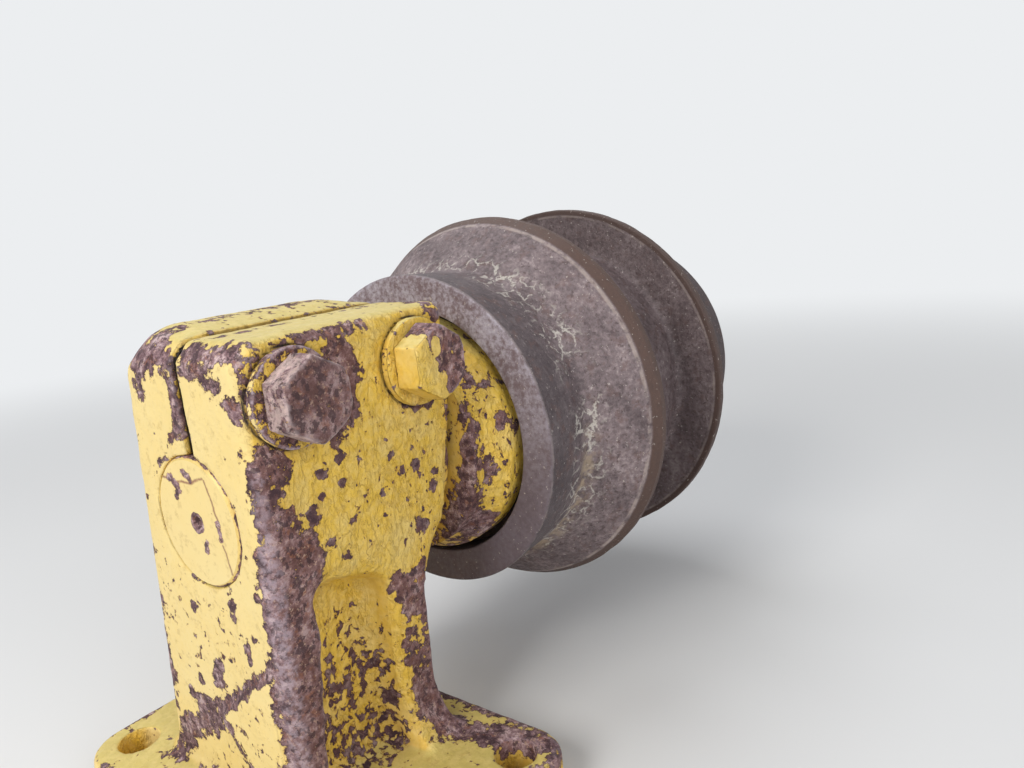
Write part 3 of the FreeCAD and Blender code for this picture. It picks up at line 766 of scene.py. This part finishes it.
def rust_colour(f, point):
    """Purple-brown scale with dark pits and lilac, tan and orange specks."""
    sideways = f.step(f.facing()[0], 0.35, 0.95)
    broad = f.noise(point, 14, 3, 0.6)
    grain = f.noise(point, 4.4, 6, 0.75)
    tone = f.plus(f.times(broad, 0.4), f.times(grain, 0.6))
    scale = f.ramp(tone, (
        (0.40, seen(70, 46, 52)),
        (0.47, seen(112, 84, 88)),
        (0.53, seen(154, 124, 128)),
        (0.60, seen(214, 188, 188)),
    ))
    colour = f.mix(f.times(sideways, 0.4), scale, seen(128, 84, 66))
    orange = f.step(f.noise(f.moved(point, 0.3, 0.1, 0), 6, 5, 0.7), 0.55, 0.64)
    colour = f.mix(f.times(orange, 0.5), colour, seen(160, 102, 72))
    tan = f.step(f.noise(f.moved(point, 0, 0.4, 0.2), 2.6, 4, 0.7), 0.58, 0.63)
    colour = f.mix(f.times(tan, 0.6), colour, seen(206, 172, 148))
    pits = f.step(f.noise(f.moved(point, 0.6, 0.4, 0.2), 4.2, 4, 0.65), 0.53, 0.57)
    return f.mix(f.times(pits, 0.75), colour, seen(58, 38, 44))


def creases(f, point):
    """1 along thin wavy lines, where the thick enamel on the bolt side has wrinkled."""
    tall = f.stretched(f.moved(point, 0.5, 0.2, 0.8), 1.0, 1.0, 0.5)
    off = f.maths("ABSOLUTE", f.plus(f.noise(tall, 5.0, 3, 0.6, 0.4), -0.5))
    sideways = f.step(f.facing()[0], 0.3, 0.8)
    return f.times(f.without(f.step(off, 0.0, 0.05)), sideways)


def paint_colour(f, point):
    """Yellow enamel, with painted light: paler on the outboard face and greener on top."""
    _, facing_y, facing_z = f.facing()
    broad = f.noise(point, 45, 3, 0.5)
    golden = f.mix(broad, seen(220, 176, 58), seen(238, 200, 84))
    washed = f.step(f.noise(f.moved(point, 0.3, 0.3, 0), 32, 4, 0.55), 0.48, 0.66)
    golden = f.mix(f.times(washed, 0.45), golden, seen(226, 200, 128))
    pale = f.mix(broad, seen(238, 206, 122), seen(240, 220, 160))
    # Painted light: paler on the outboard face, where the light falls most.
    outboard = f.without(f.step(f.split(point)[1], FACE_Y + 8 * MM, FACE_Y + 20 * MM))
    forward = f.step(f.times(facing_y, -1.0), 0.35, 0.95)
    painted_front_light = f.times(forward, f.plus(0.15, f.times(outboard, 0.85)))
    colour = f.mix(painted_front_light, golden, pale)
    # Painted light: greener and duller on the top.
    colour = f.mix(f.step(facing_z, 0.55, 0.95), colour, seen(206, 186, 108))
    # Painted glints: pale cream specks on the orange peel.
    painted_peel_glints = f.step(f.noise(point, 4.4, 4, 0.6), 0.42, 0.62)
    colour = f.mix(f.times(painted_peel_glints, 0.22), colour, seen(240, 216, 150))
    # Painted shade along the creases.
    colour = f.mix(f.times(creases(f, point), 0.22), colour, seen(178, 132, 44))
    soot = f.step(f.noise(f.moved(point, 0.2, 0.2, 0.2), 5, 6, 0.7), 0.52, 0.72)
    return f.mix(f.times(soot, 0.35), colour, seen(166, 128, 54))


def chipped(f, point, wear):
    """How far each place is past the loss of its paint: bare above 0."""
    coarse = f.noise(point, 13, 2, 0.5, 0.4)
    ragged = f.noise(f.moved(point, 0.2, 0, 0.5), 5.5, 8, 0.66)
    spots = f.plus(f.times(coarse, 0.55), f.times(ragged, 1.3))
    worn = f.plus(f.plus(f.times(wear, 0.52), spots), -1.23)
    tall = f.stretched(f.moved(point, 0.4, 0.7, 0.1), 1.0, 1.0, 0.85)
    small = f.noise(tall, 4.8, 4, 0.55, 0.3)
    dense = f.plus(f.times(f.field("flecks"), 0.22), f.times(coarse, 0.25))
    return f.larger(worn, f.plus(f.plus(small, dense), -0.85))


def stained_and_shaded(f, point, paint, level, wear):
    """Paint with brown margins about the chips, drips below them, a browner, darker tone in the
    hollows, and brown painted shade in the slit, about the washers and by the head.
    """
    halo = f.step(level, -0.05, 0.008)
    colour = f.mix(f.times(halo, 0.7), paint, seen(146, 88, 36))
    run = f.noise(f.stretched(point, 1.0, 1.0, 0.16), 6, 3, 0.6)
    drips = f.times(f.step(run, 0.56, 0.72), f.step(wear, 0.25, 0.6))
    colour = f.mix(f.times(drips, 0.35), colour, seen(172, 110, 42))
    # Browner and darker in the hollows, and brown painted shade in the slit, about the washers and by
    # the head.
    return f.mix(f.times(f.field("painted_shade_and_hollows"), 0.6), colour, seen(120, 88, 40))


def chip_colour(f, point, level):
    """Rust where the paint is gone: dark in small chips and at margins, bright on ridges that are
    rubbed bare and carry a painted highlight.
    """
    margin = f.times(f.without(f.step(level, 0.02, 0.12)), 0.68)
    small = f.larger(f.times(f.field("flecks"), 0.45), f.times(f.field("chips"), 0.68))
    dark = f.mix(f.larger(margin, small), rust_colour(f, point), seen(68, 46, 54))
    rubbed = f.step(f.noise(f.moved(point, 0.1, 0, 0.3), 3.4, 5, 0.68), 0.40, 0.60)
    # Ridges rubbed bare, with a painted highlight along them.
    ridge_wear_and_highlight = f.times(f.step(f.field("arris"), 0.2, 1.0), f.plus(0.12, f.times(rubbed, 0.9)))
    return f.mix(ridge_wear_and_highlight, dark, seen(188, 170, 180))


def enamel_height(f, point):
    """The paint's relief: thick orange peel with creases on the sides, smoother elsewhere."""
    sideways = f.step(f.maths("ABSOLUTE", f.facing()[0]), 0.3, 0.8)
    orange_peel = f.times(f.noise(point, 6.0, 4, 0.6), f.blend(sideways, 0.9, 3.6))
    fine = f.times(f.noise(point, 2.2, 2, 0.5), 0.3)
    return f.plus(f.plus(orange_peel, f.times(creases(f, point), -0.45)), fine)


def painted(name):
    """Chipped yellow paint over rust. A mesh field called wear says where it is gone."""
    f = Finish(name)
    point = f.local()
    wear = f.field("wear")
    level = chipped(f, point, wear)
    bare = f.step(level, 0.0, 0.01)
    paint = stained_and_shaded(f, point, paint_colour(f, point), level, wear)
    colour = f.mix(bare, paint, chip_colour(f, point, level))
    # Painted deep shade, near black, on the slit's walls and lips and in the line about each washer.
    painted_deep_shade = f.step(f.field("painted_shade_and_hollows"), 0.55, 0.95)
    colour = f.mix(painted_deep_shade, colour, seen(34, 24, 18))
    scab = f.plus(f.times(f.noise(point, 3.4, 6, 0.7), 1.9), -1.3)
    height = f.blend(bare, enamel_height(f, point), scab)
    rough = f.blend(bare, f.plus(f.times(f.noise(point, 3, 2, 0.5), 0.3), 0.32), 0.8)
    f.shader.inputs["Specular IOR Level"].default_value = 0.4
    return f.finish(colour, rough, 0.0, f.relief(height, 0.8 * MM))


def rusted(name):
    """Bare rusted steel with pitted scale, for bolts, with pale scale and a painted highlight on the
    flats.
    """
    f = Finish(name)
    point = f.local()
    end_face = f.step(f.facing()[0], 0.6, 0.9)
    colour = f.mix(f.times(end_face, 0.2), rust_colour(f, point), seen(96, 70, 68))
    rubbed = f.plus(f.times(f.field("arris"), 0.8), f.times(f.noise(point, 4, 4, 0.6), 0.6))
    worn = f.step(rubbed, 0.5, 0.95)
    colour = f.mix(f.times(worn, 0.5), colour, seen(190, 170, 170))
    # Pale scale with a painted highlight on the flats, away from the end face.
    scale = f.times(f.without(end_face), f.step(f.noise(point, 4, 5, 0.7), 0.40, 0.56))
    colour = f.mix(f.times(scale, 0.55), colour, seen(232, 206, 198))
    left = f.step(f.noise(f.moved(point, 0.7, 0, 0), 9, 6, 0.65), 0.66, 0.67)
    colour = f.mix(left, colour, seen(206, 162, 66))
    pits = f.plus(f.noise(point, 1.6, 6, 0.7), f.times(f.noise(point, 5, 3, 0.6), 1.6))
    return f.finish(colour, f.blend(worn, 0.86, 0.6), 0.0, f.relief(pits, 1.3 * MM))


def from_axis(f, x, z):
    """The height above the roller's axis and the distance from it."""
    up = f.plus(z, -AXIS_Z)
    return up, f.maths("SQRT", f.plus(f.times(x, x), f.times(up, up)))


def swept_lines(f, y, radius, spin_x, spin_z):
    """Fine lines round the axis, as rolling leaves them."""
    swept = f.joined(f.times(spin_x, 0.05), y, f.times(spin_z, 0.05))
    return f.noise(f.pushed(swept, radius), 1.1, 4, 0.6)


def ring_blotches_and_painted_light(f, point, spin_z):
    """The roller's end face: fine purple-brown blotches, with painted light: paler and bluer near the
    top, darker lower down.
    """
    # Painted light: paler and bluer towards the top, darker towards the bottom.
    height = f.step(spin_z, -0.5, 1.1)
    pale = f.mix(height, seen(128, 116, 126), seen(208, 200, 212))
    dark = f.mix(height, seen(112, 98, 106), seen(134, 112, 116))
    fine = f.noise(f.moved(point, 0, 0.2, 0), 3.4, 5, 0.65)
    broad = f.noise(f.moved(point, 0.3, 0.2, 0), 22, 3, 0.5)
    level = f.plus(f.times(fine, 0.7), f.times(broad, 0.3))
    return f.mix(f.step(level, 0.36, 0.62), pale, dark)


def pale_veins(f, point, along):
    """A broken net of thin pale cracks along the roots of the treads."""
    crazing = f.cracks(f.shaken(point, 6, 9 * MM), 10)
    thin = f.without(f.step(crazing, 0.0, 0.10))
    broken = f.step(f.noise(point, 4, 4, 0.65), 0.42, 0.52)
    patch = f.step(f.noise(f.moved(point, 0.5, 0.5, 0), 24, 3, 0.5), 0.38, 0.52)
    past_start = f.step(along, FLANK_START - 14 * MM, FLANK_START - 4 * MM)
    past_end = f.step(along, FLANK_START + 10 * MM, FLANK_START + 20 * MM)
    band = f.times(past_start, f.without(past_end))
    return f.times(f.times(thin, broken), f.times(patch, band))


def dried_mud(f, point, along, spin_z):
    """1 where mud has dried on the lower side, along the roots of the treads."""
    root = f.without(f.step(f.maths("ABSOLUTE", f.plus(along, -FLANK_START)), 1 * MM, 8 * MM))
    low = f.times(root, f.without(f.step(spin_z, -0.3, 0.15)))
    return f.times(low, f.step(f.noise(point, 9, 5, 0.65), 0.38, 0.58))


def steel_film(f, point, grain, lines, rubbed, along):
    """The film on the steel: grey-purple, darker on the treads, red, rubbed and dotted in places."""
    tone = f.plus(f.times(f.noise(point, 26, 4, 0.6), 0.4), f.times(grain, 0.6))
    colour = f.ramp(tone, (
        (0.36, seen(84, 68, 70)),
        (0.46, seen(118, 102, 104)),
        (0.54, seen(146, 128, 130)),
        (0.64, seen(184, 168, 168)),
    ))
    colour = f.mix(f.times(f.step(lines, 0.5, 0.72), 0.2), colour, seen(176, 166, 168))
    tread = f.step(along, FLANK_START - 12 * MM, FLANK_START + 28 * MM)
    colour = f.mix(f.times(tread, 0.66), colour, seen(58, 50, 54))
    red = f.step(f.noise(f.moved(point, 0.1, 0.9, 0), 8, 6, 0.7), 0.52, 0.64)
    colour = f.mix(f.times(red, 0.45), colour, seen(116, 84, 76))
    colour = f.mix(f.times(rubbed, 0.55), colour, seen(196, 180, 178))
    dots = f.step(f.noise(f.moved(point, 0.4, 0, 0.9), 3.0, 4, 0.6), 0.58, 0.64)
    return f.mix(f.times(dots, 0.6), colour, seen(74, 54, 54))


def flange_rust(f, point, grain, colour, radius):
    """Brown rust on the flanges' rims, and a broken bright line where each flank ends."""
    brown = f.mix(grain, seen(66, 44, 36), seen(112, 84, 72))
    rim = f.step(radius, FLANK_RADIUS + 0.6 * MM, FLANK_RADIUS + 1.6 * MM)
    off_crest = f.maths("ABSOLUTE", f.plus(radius, -(FLANK_RADIUS + 0.1 * MM)))
    crest = f.without(f.step(off_crest, 0.3 * MM, 1.1 * MM))
    crest = f.times(crest, f.step(f.noise(point, 9, 4, 0.6), 0.36, 0.56))
    return f.mix(f.times(crest, 0.6), f.mix(rim, colour, brown), seen(206, 188, 178))


def worn_steel(name):
    """The roller's steel: grey-purple film, paler where it rubs, dried mud at the flanges' feet."""
    f = Finish(name)
    point = f.local()
    x, y, z = f.split(point)
    up, radius = from_axis(f, x, z)
    spin_x = f.maths("DIVIDE", x, radius)
    spin_z = f.maths("DIVIDE", up, radius)
    along = f.maths("ABSOLUTE", f.plus(y, -(ROLLER_START + ROLLER_END) / 2))
    grain = f.noise(point, 3.6, 6, 0.72)
    lines = swept_lines(f, y, radius, spin_x, spin_z)
    rubbed = f.step(f.plus(f.field("wear"), f.times(f.noise(point, 7, 4, 0.6), 0.5)), 0.5, 0.95)
    colour = steel_film(f, point, grain, lines, rubbed, along)
    colour = flange_rust(f, point, grain, colour, radius)
    inboard = f.step(y, FLANGE_BACK - 7 * MM, FLANGE_BACK + 7 * MM)
    colour = f.mix(f.times(inboard, 0.42), colour, seen(64, 46, 42))
    end_face = f.step(along, HALF_LENGTH - 1.2 * MM, HALF_LENGTH - 0.1 * MM)
    # The end face, with painted light that is paler towards the top.
    colour = f.mix(end_face, colour, ring_blotches_and_painted_light(f, point, spin_z))
    colour = f.mix(0.3, colour, seen(28, 24, 26))
    colour = f.mix(f.times(pale_veins(f, point, along), 0.75), colour, seen(200, 194, 184))
    colour = f.mix(f.times(dried_mud(f, point, along, spin_z), 0.6), colour, seen(178, 158, 130))
    specks = f.step(f.noise(f.moved(point, 0.9, 0, 0.4), 2.2, 4, 0.65), 0.63, 0.69)
    colour = f.mix(f.times(specks, 0.5), colour, seen(208, 198, 190))
    height = f.plus(f.times(grain, 0.9), f.times(lines, 0.25))
    rough = f.blend(rubbed, f.plus(f.times(grain, 0.3), 0.48), 0.42)
    return f.finish(colour, rough, f.times(rubbed, 0.3), f.relief(height, 0.6 * MM))


# Marks on the shaft's end face, with places as (across, above the axis) in millimetres.
# Chips are from, to, radius.
DISC_CHIPS = (
    ((-17, 21), (-11, 16), 5),
    ((-12, 15), (-14, 12), 4),
    ((-4, 25), (0, 22), 4),
    ((18, 2), (18, -5), 3.5),
    ((5, -9), (3, -14), 3.5),
)
# Cracks are from, to.
DISC_CRACKS = (
    ((-24, 21), (-10, 19.5)),
    ((-10, 19.5), (2, 20.5)),
    ((2, 20.5), (12, 24)),
    ((13, 23), (16, 14)),
    ((16, 14), (19, 1)),
    ((19, -8), (22, -22)),
)


def on_disc(place):
    """A point on the shaft's end face."""
    return Vector((place[0] * MM, FACE_Y, AXIS_Z + place[1] * MM))


def shaft_finish(name):
    """Turned steel; its outboard end is painted with the bracket, with a rusty outline."""
    f = Finish(name)
    point = f.local()
    x, y, z = f.split(point)
    radius = from_axis(f, x, z)[1]
    edge = f.step(radius, SHAFT_RADIUS - 1.5 * MM, SHAFT_RADIUS - 0.1 * MM)
    hole = f.without(f.step(radius, SHAFT_HOLE_RADIUS - 0.5 * MM, SHAFT_HOLE_RADIUS + 2.5 * MM))
    coarse = f.noise(point, 11, 2, 0.5, 0.4)
    ragged = f.noise(f.moved(point, 0.2, 0, 0.5), 4.5, 8, 0.66)
    spots = f.plus(f.times(coarse, 0.6), f.times(ragged, 0.95))
    wear = f.larger(f.times(edge, 0.36), f.times(hole, 0.8))
    for start, end, reach in DISC_CHIPS:
        here = f.stroke(f.shaken(point, 5, 4 * MM), on_disc(start), on_disc(end), reach * MM)
        wear = f.larger(wear, f.times(here, 0.5))
    level = f.plus(f.plus(wear, spots), -1.03)
    bare = f.step(level, 0.0, 0.012)
    halo = f.step(level, -0.06, 0.01)
    stain = f.mix(f.times(halo, 0.8), paint_colour(f, point), seen(184, 118, 44))
    wavy = f.shaken(point, 6, 3 * MM)
    for start, end in DISC_CRACKS:
        crack = f.stroke(wavy, on_disc(start), on_disc(end), 1.2 * MM)
        stain = f.mix(f.times(crack, 0.9), stain, seen(140, 84, 62))
    colour = f.mix(bare, stain, rust_colour(f, point))
    inside = f.step(y, FACE_Y + 4 * MM, FACE_Y + 6 * MM)
    colour = f.mix(inside, colour, seen(84, 66, 58))
    height = f.blend(bare, f.times(f.noise(point, 3, 3, 0.5), 0.2), -0.5)
    return f.finish(colour, f.blend(bare, 0.42, 0.8), 0.0, f.relief(height, 0.6 * MM))


def dark_steel(name):
    """The seal ring deep in the mouth."""
    f = Finish(name)
    point = f.local()
    tone = f.noise(point, 4, 5, 0.6)
    colour = f.ramp(tone, ((0.35, seen(20, 17, 15)), (0.65, seen(54, 44, 38))))
    return f.finish(colour, f.plus(f.times(tone, 0.4), 0.3), 0.0, f.relief(tone, 0.3 * MM))


def cover_finish(name):
    """The end cover: rusted steel with remains of paint, paler on the sides of its forms."""
    f = Finish(name)
    point = f.local()
    level = f.plus(f.times(f.noise(point, 16, 3, 0.5), 0.5), f.times(f.noise(point, 5, 8, 0.66), 0.9))
    left = f.step(level, 0.795, 0.81)
    endwise = f.step(f.maths("ABSOLUTE", f.facing()[1]), 0.5, 0.9)
    rust = f.mix(0.45, rust_colour(f, point), seen(84, 64, 62))
    rust = f.mix(f.times(f.without(endwise), 0.5), rust, seen(170, 150, 152))
    colour = f.mix(left, rust, paint_colour(f, point))
    height = f.blend(left, f.times(f.noise(point, 1.6, 6, 0.7), 0.6), 0.9)
    return f.finish(colour, f.blend(left, 0.8, 0.45), 0.0, f.relief(height, 0.5 * MM))


BACKDROP = seen(236, 238, 240)


def sight_rays(tree):
    """1 for rays that show the backdrop: the camera's own, reflected and transmitted ones."""
    rays = tree.nodes.new("ShaderNodeLightPath")
    total = rays.outputs["Is Camera Ray"]
    for kind in ("Is Glossy Ray", "Is Transmission Ray"):
        either = tree.nodes.new("ShaderNodeMath")
        either.operation = "MAXIMUM"
        tree.links.new(total, either.inputs[0])
        tree.links.new(rays.outputs[kind], either.inputs[1])
        total = either.outputs[0]
    return total


def stage_finish(name, colour):
    """A plain matt floor that turns into the backdrop far away."""
    f = Finish(name)
    point = f.local()
    soft = f.noise(point, 400, 2, 0.5)
    x, y, _ = f.split(point)
    away = f.step(f.maths("SQRT", f.plus(f.times(x, x), f.times(y, y))), 0.6, 2.2)
    plain = f.add("ShaderNodeEmission")
    plain.inputs["Color"].default_value = BACKDROP
    both = f.add("ShaderNodeMixShader")
    f.put(both.inputs[0], f.times(away, sight_rays(f.tree)))
    f.put(both.inputs[1], f.shader.outputs[0])
    f.put(both.inputs[2], plain.outputs[0])
    f.put(f.tree.nodes["Material Output"].inputs["Surface"], both.outputs[0])
    return f.finish(f.mix(f.times(soft, 0.12), colour, seen(214, 214, 214)), 0.9, 0.0, None)


# Where the fasteners have lost their paint.

def all_rust(points):
    """The outboard bolt is bare."""
    return np.full(len(points), 1.0)


def traces_of_paint(points):
    """The outboard washer keeps some paint."""
    return np.full(len(points), 0.56)


def mostly_paint(points):
    """The inboard washer keeps most of its paint."""
    return np.full(len(points), 0.15)


def inboard_rust(points):
    """Paint stays on the outboard half of the inboard bolt, rust on the rest."""
    centre = middle(*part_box("clamp_bolt_inboard"))
    across = points[:, 1] - centre.y + 0.45 * (points[:, 2] - centre.z)
    spot = capsule(above_axis(points), (73, 59, 66), (73, 59, 70), 4.5)
    return np.clip((across + 7 * MM) / (7 * MM) - 2.2 * spot, 0.05, 1)


# The object.
make_casting(painted("chipped_paint"))
make_roller(worn_steel("worn_steel"))
make_collar(painted("collar_paint"))

for place, wear_of, material in (
        ("outboard", all_rust, rusted("rusted_steel")),
        ("inboard", inboard_rust, painted("bolt_paint"))):
    make_fastener("clamp_bolt_" + place, "bolt_skin_" + place, wear_of, material)
for place, wear_of in (("outboard", traces_of_paint), ("inboard", mostly_paint)):
    material = painted("washer_paint_" + place)
    make_fastener("head_washer_" + place, "washer_skin_" + place, wear_of, material)

for node_name, finish_of in (
        ("roller_shaft", shaft_finish),
        ("seal_ring", dark_steel),
        ("end_cover", cover_finish)):
    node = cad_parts[node_name]
    node.data.materials.clear()
    node.data.materials.append(finish_of(node_name + "_finish"))


# Floor, light and camera.

FLOOR_HALF = 12
FLOOR_DROP = 0.4 * MM


def make_floor():
    """A wide plain floor, a hair below the foot."""
    corners = [(x * FLOOR_HALF, y * FLOOR_HALF, -FLOOR_DROP)
               for x, y in ((-1, -1), (1, -1), (1, 1), (-1, 1))]
    floor = new_piece("floor", corners, [(0, 1, 2, 3)])
    floor.data.materials.append(stage_finish("floor_finish", seen(226, 226, 226)))


def area_lamp(name, place, target, size, power, colour):
    """A square lamp that faces the target."""
    lamp = bpy.data.lights.new(name, "AREA")
    lamp.size = size
    lamp.energy = power
    lamp.color = colour
    item = bpy.data.objects.new(name, lamp)
    item.location = place
    item.rotation_euler = (Vector(place) - Vector(target)).to_track_quat("Z", "Y").to_euler()
    bpy.context.scene.collection.objects.link(item)


LAMP_TARGET = (0, 0.1, AXIS_Z)
WARM_WHITE = (1.0, 0.98, 0.94)
COOL_WHITE = (0.95, 0.97, 1.0)
# How strongly the sky lights the object. Where it is seen itself, its strength is 1.
SKY_STRENGTH = 0.38


def make_world():
    """A plain pale backdrop that lights the object more softly than it shows."""
    world = bpy.data.worlds.new("studio")
    world.use_nodes = True
    nodes = world.node_tree.nodes
    links = world.node_tree.links
    sky = nodes["Background"]
    sky.inputs["Color"].default_value = BACKDROP
    sky.inputs["Strength"].default_value = SKY_STRENGTH
    plain = nodes.new("ShaderNodeBackground")
    plain.inputs["Color"].default_value = BACKDROP
    plain.inputs["Strength"].default_value = 1.0
    choice = nodes.new("ShaderNodeMixShader")
    links.new(sight_rays(world.node_tree), choice.inputs[0])
    links.new(sky.outputs[0], choice.inputs[1])
    links.new(plain.outputs[0], choice.inputs[2])
    links.new(choice.outputs[0], nodes["World Output"].inputs["Surface"])
    bpy.context.scene.world = world


# The camera, fitted to the roller's rings in the photograph.
CAMERA_PLACE = Vector((0.3375, -0.2226, AXIS_Z + 0.1256))
CAMERA_FORWARD = Vector((-0.600, 0.772, -0.208)).normalized()
CAMERA_UP = Vector((-0.044, 0.228, 0.973))
SENSOR_WIDTH = 36
FOCAL_LENGTH = 27.07


def make_camera():
    """The camera at the photograph's place and angle."""
    lens = bpy.data.cameras.new("camera")
    lens.sensor_width = SENSOR_WIDTH
    lens.lens = FOCAL_LENGTH
    lens.clip_start = 0.01
    camera = bpy.data.objects.new("camera", lens)
    up = (CAMERA_UP - CAMERA_UP.dot(CAMERA_FORWARD) * CAMERA_FORWARD).normalized()
    right = CAMERA_FORWARD.cross(up)
    camera.matrix_world = Matrix((
        (right.x, up.x, -CAMERA_FORWARD.x, CAMERA_PLACE.x),
        (right.y, up.y, -CAMERA_FORWARD.y, CAMERA_PLACE.y),
        (right.z, up.z, -CAMERA_FORWARD.z, CAMERA_PLACE.z),
        (0, 0, 0, 1)))
    bpy.context.scene.collection.objects.link(camera)
    bpy.context.scene.camera = camera


make_floor()
area_lamp("key", (0.1, -1.6, 1.25), LAMP_TARGET, 0.8, 23, WARM_WHITE)
area_lamp("side", (1.7, -0.3, 0.9), LAMP_TARGET, 1.0, 12, COOL_WHITE)
area_lamp("top", (-0.6, 0.3, 1.9), LAMP_TARGET, 1.2, 15, COOL_WHITE)
make_world()
make_camera()
bpy.context.scene.view_settings.view_transform = "Standard"
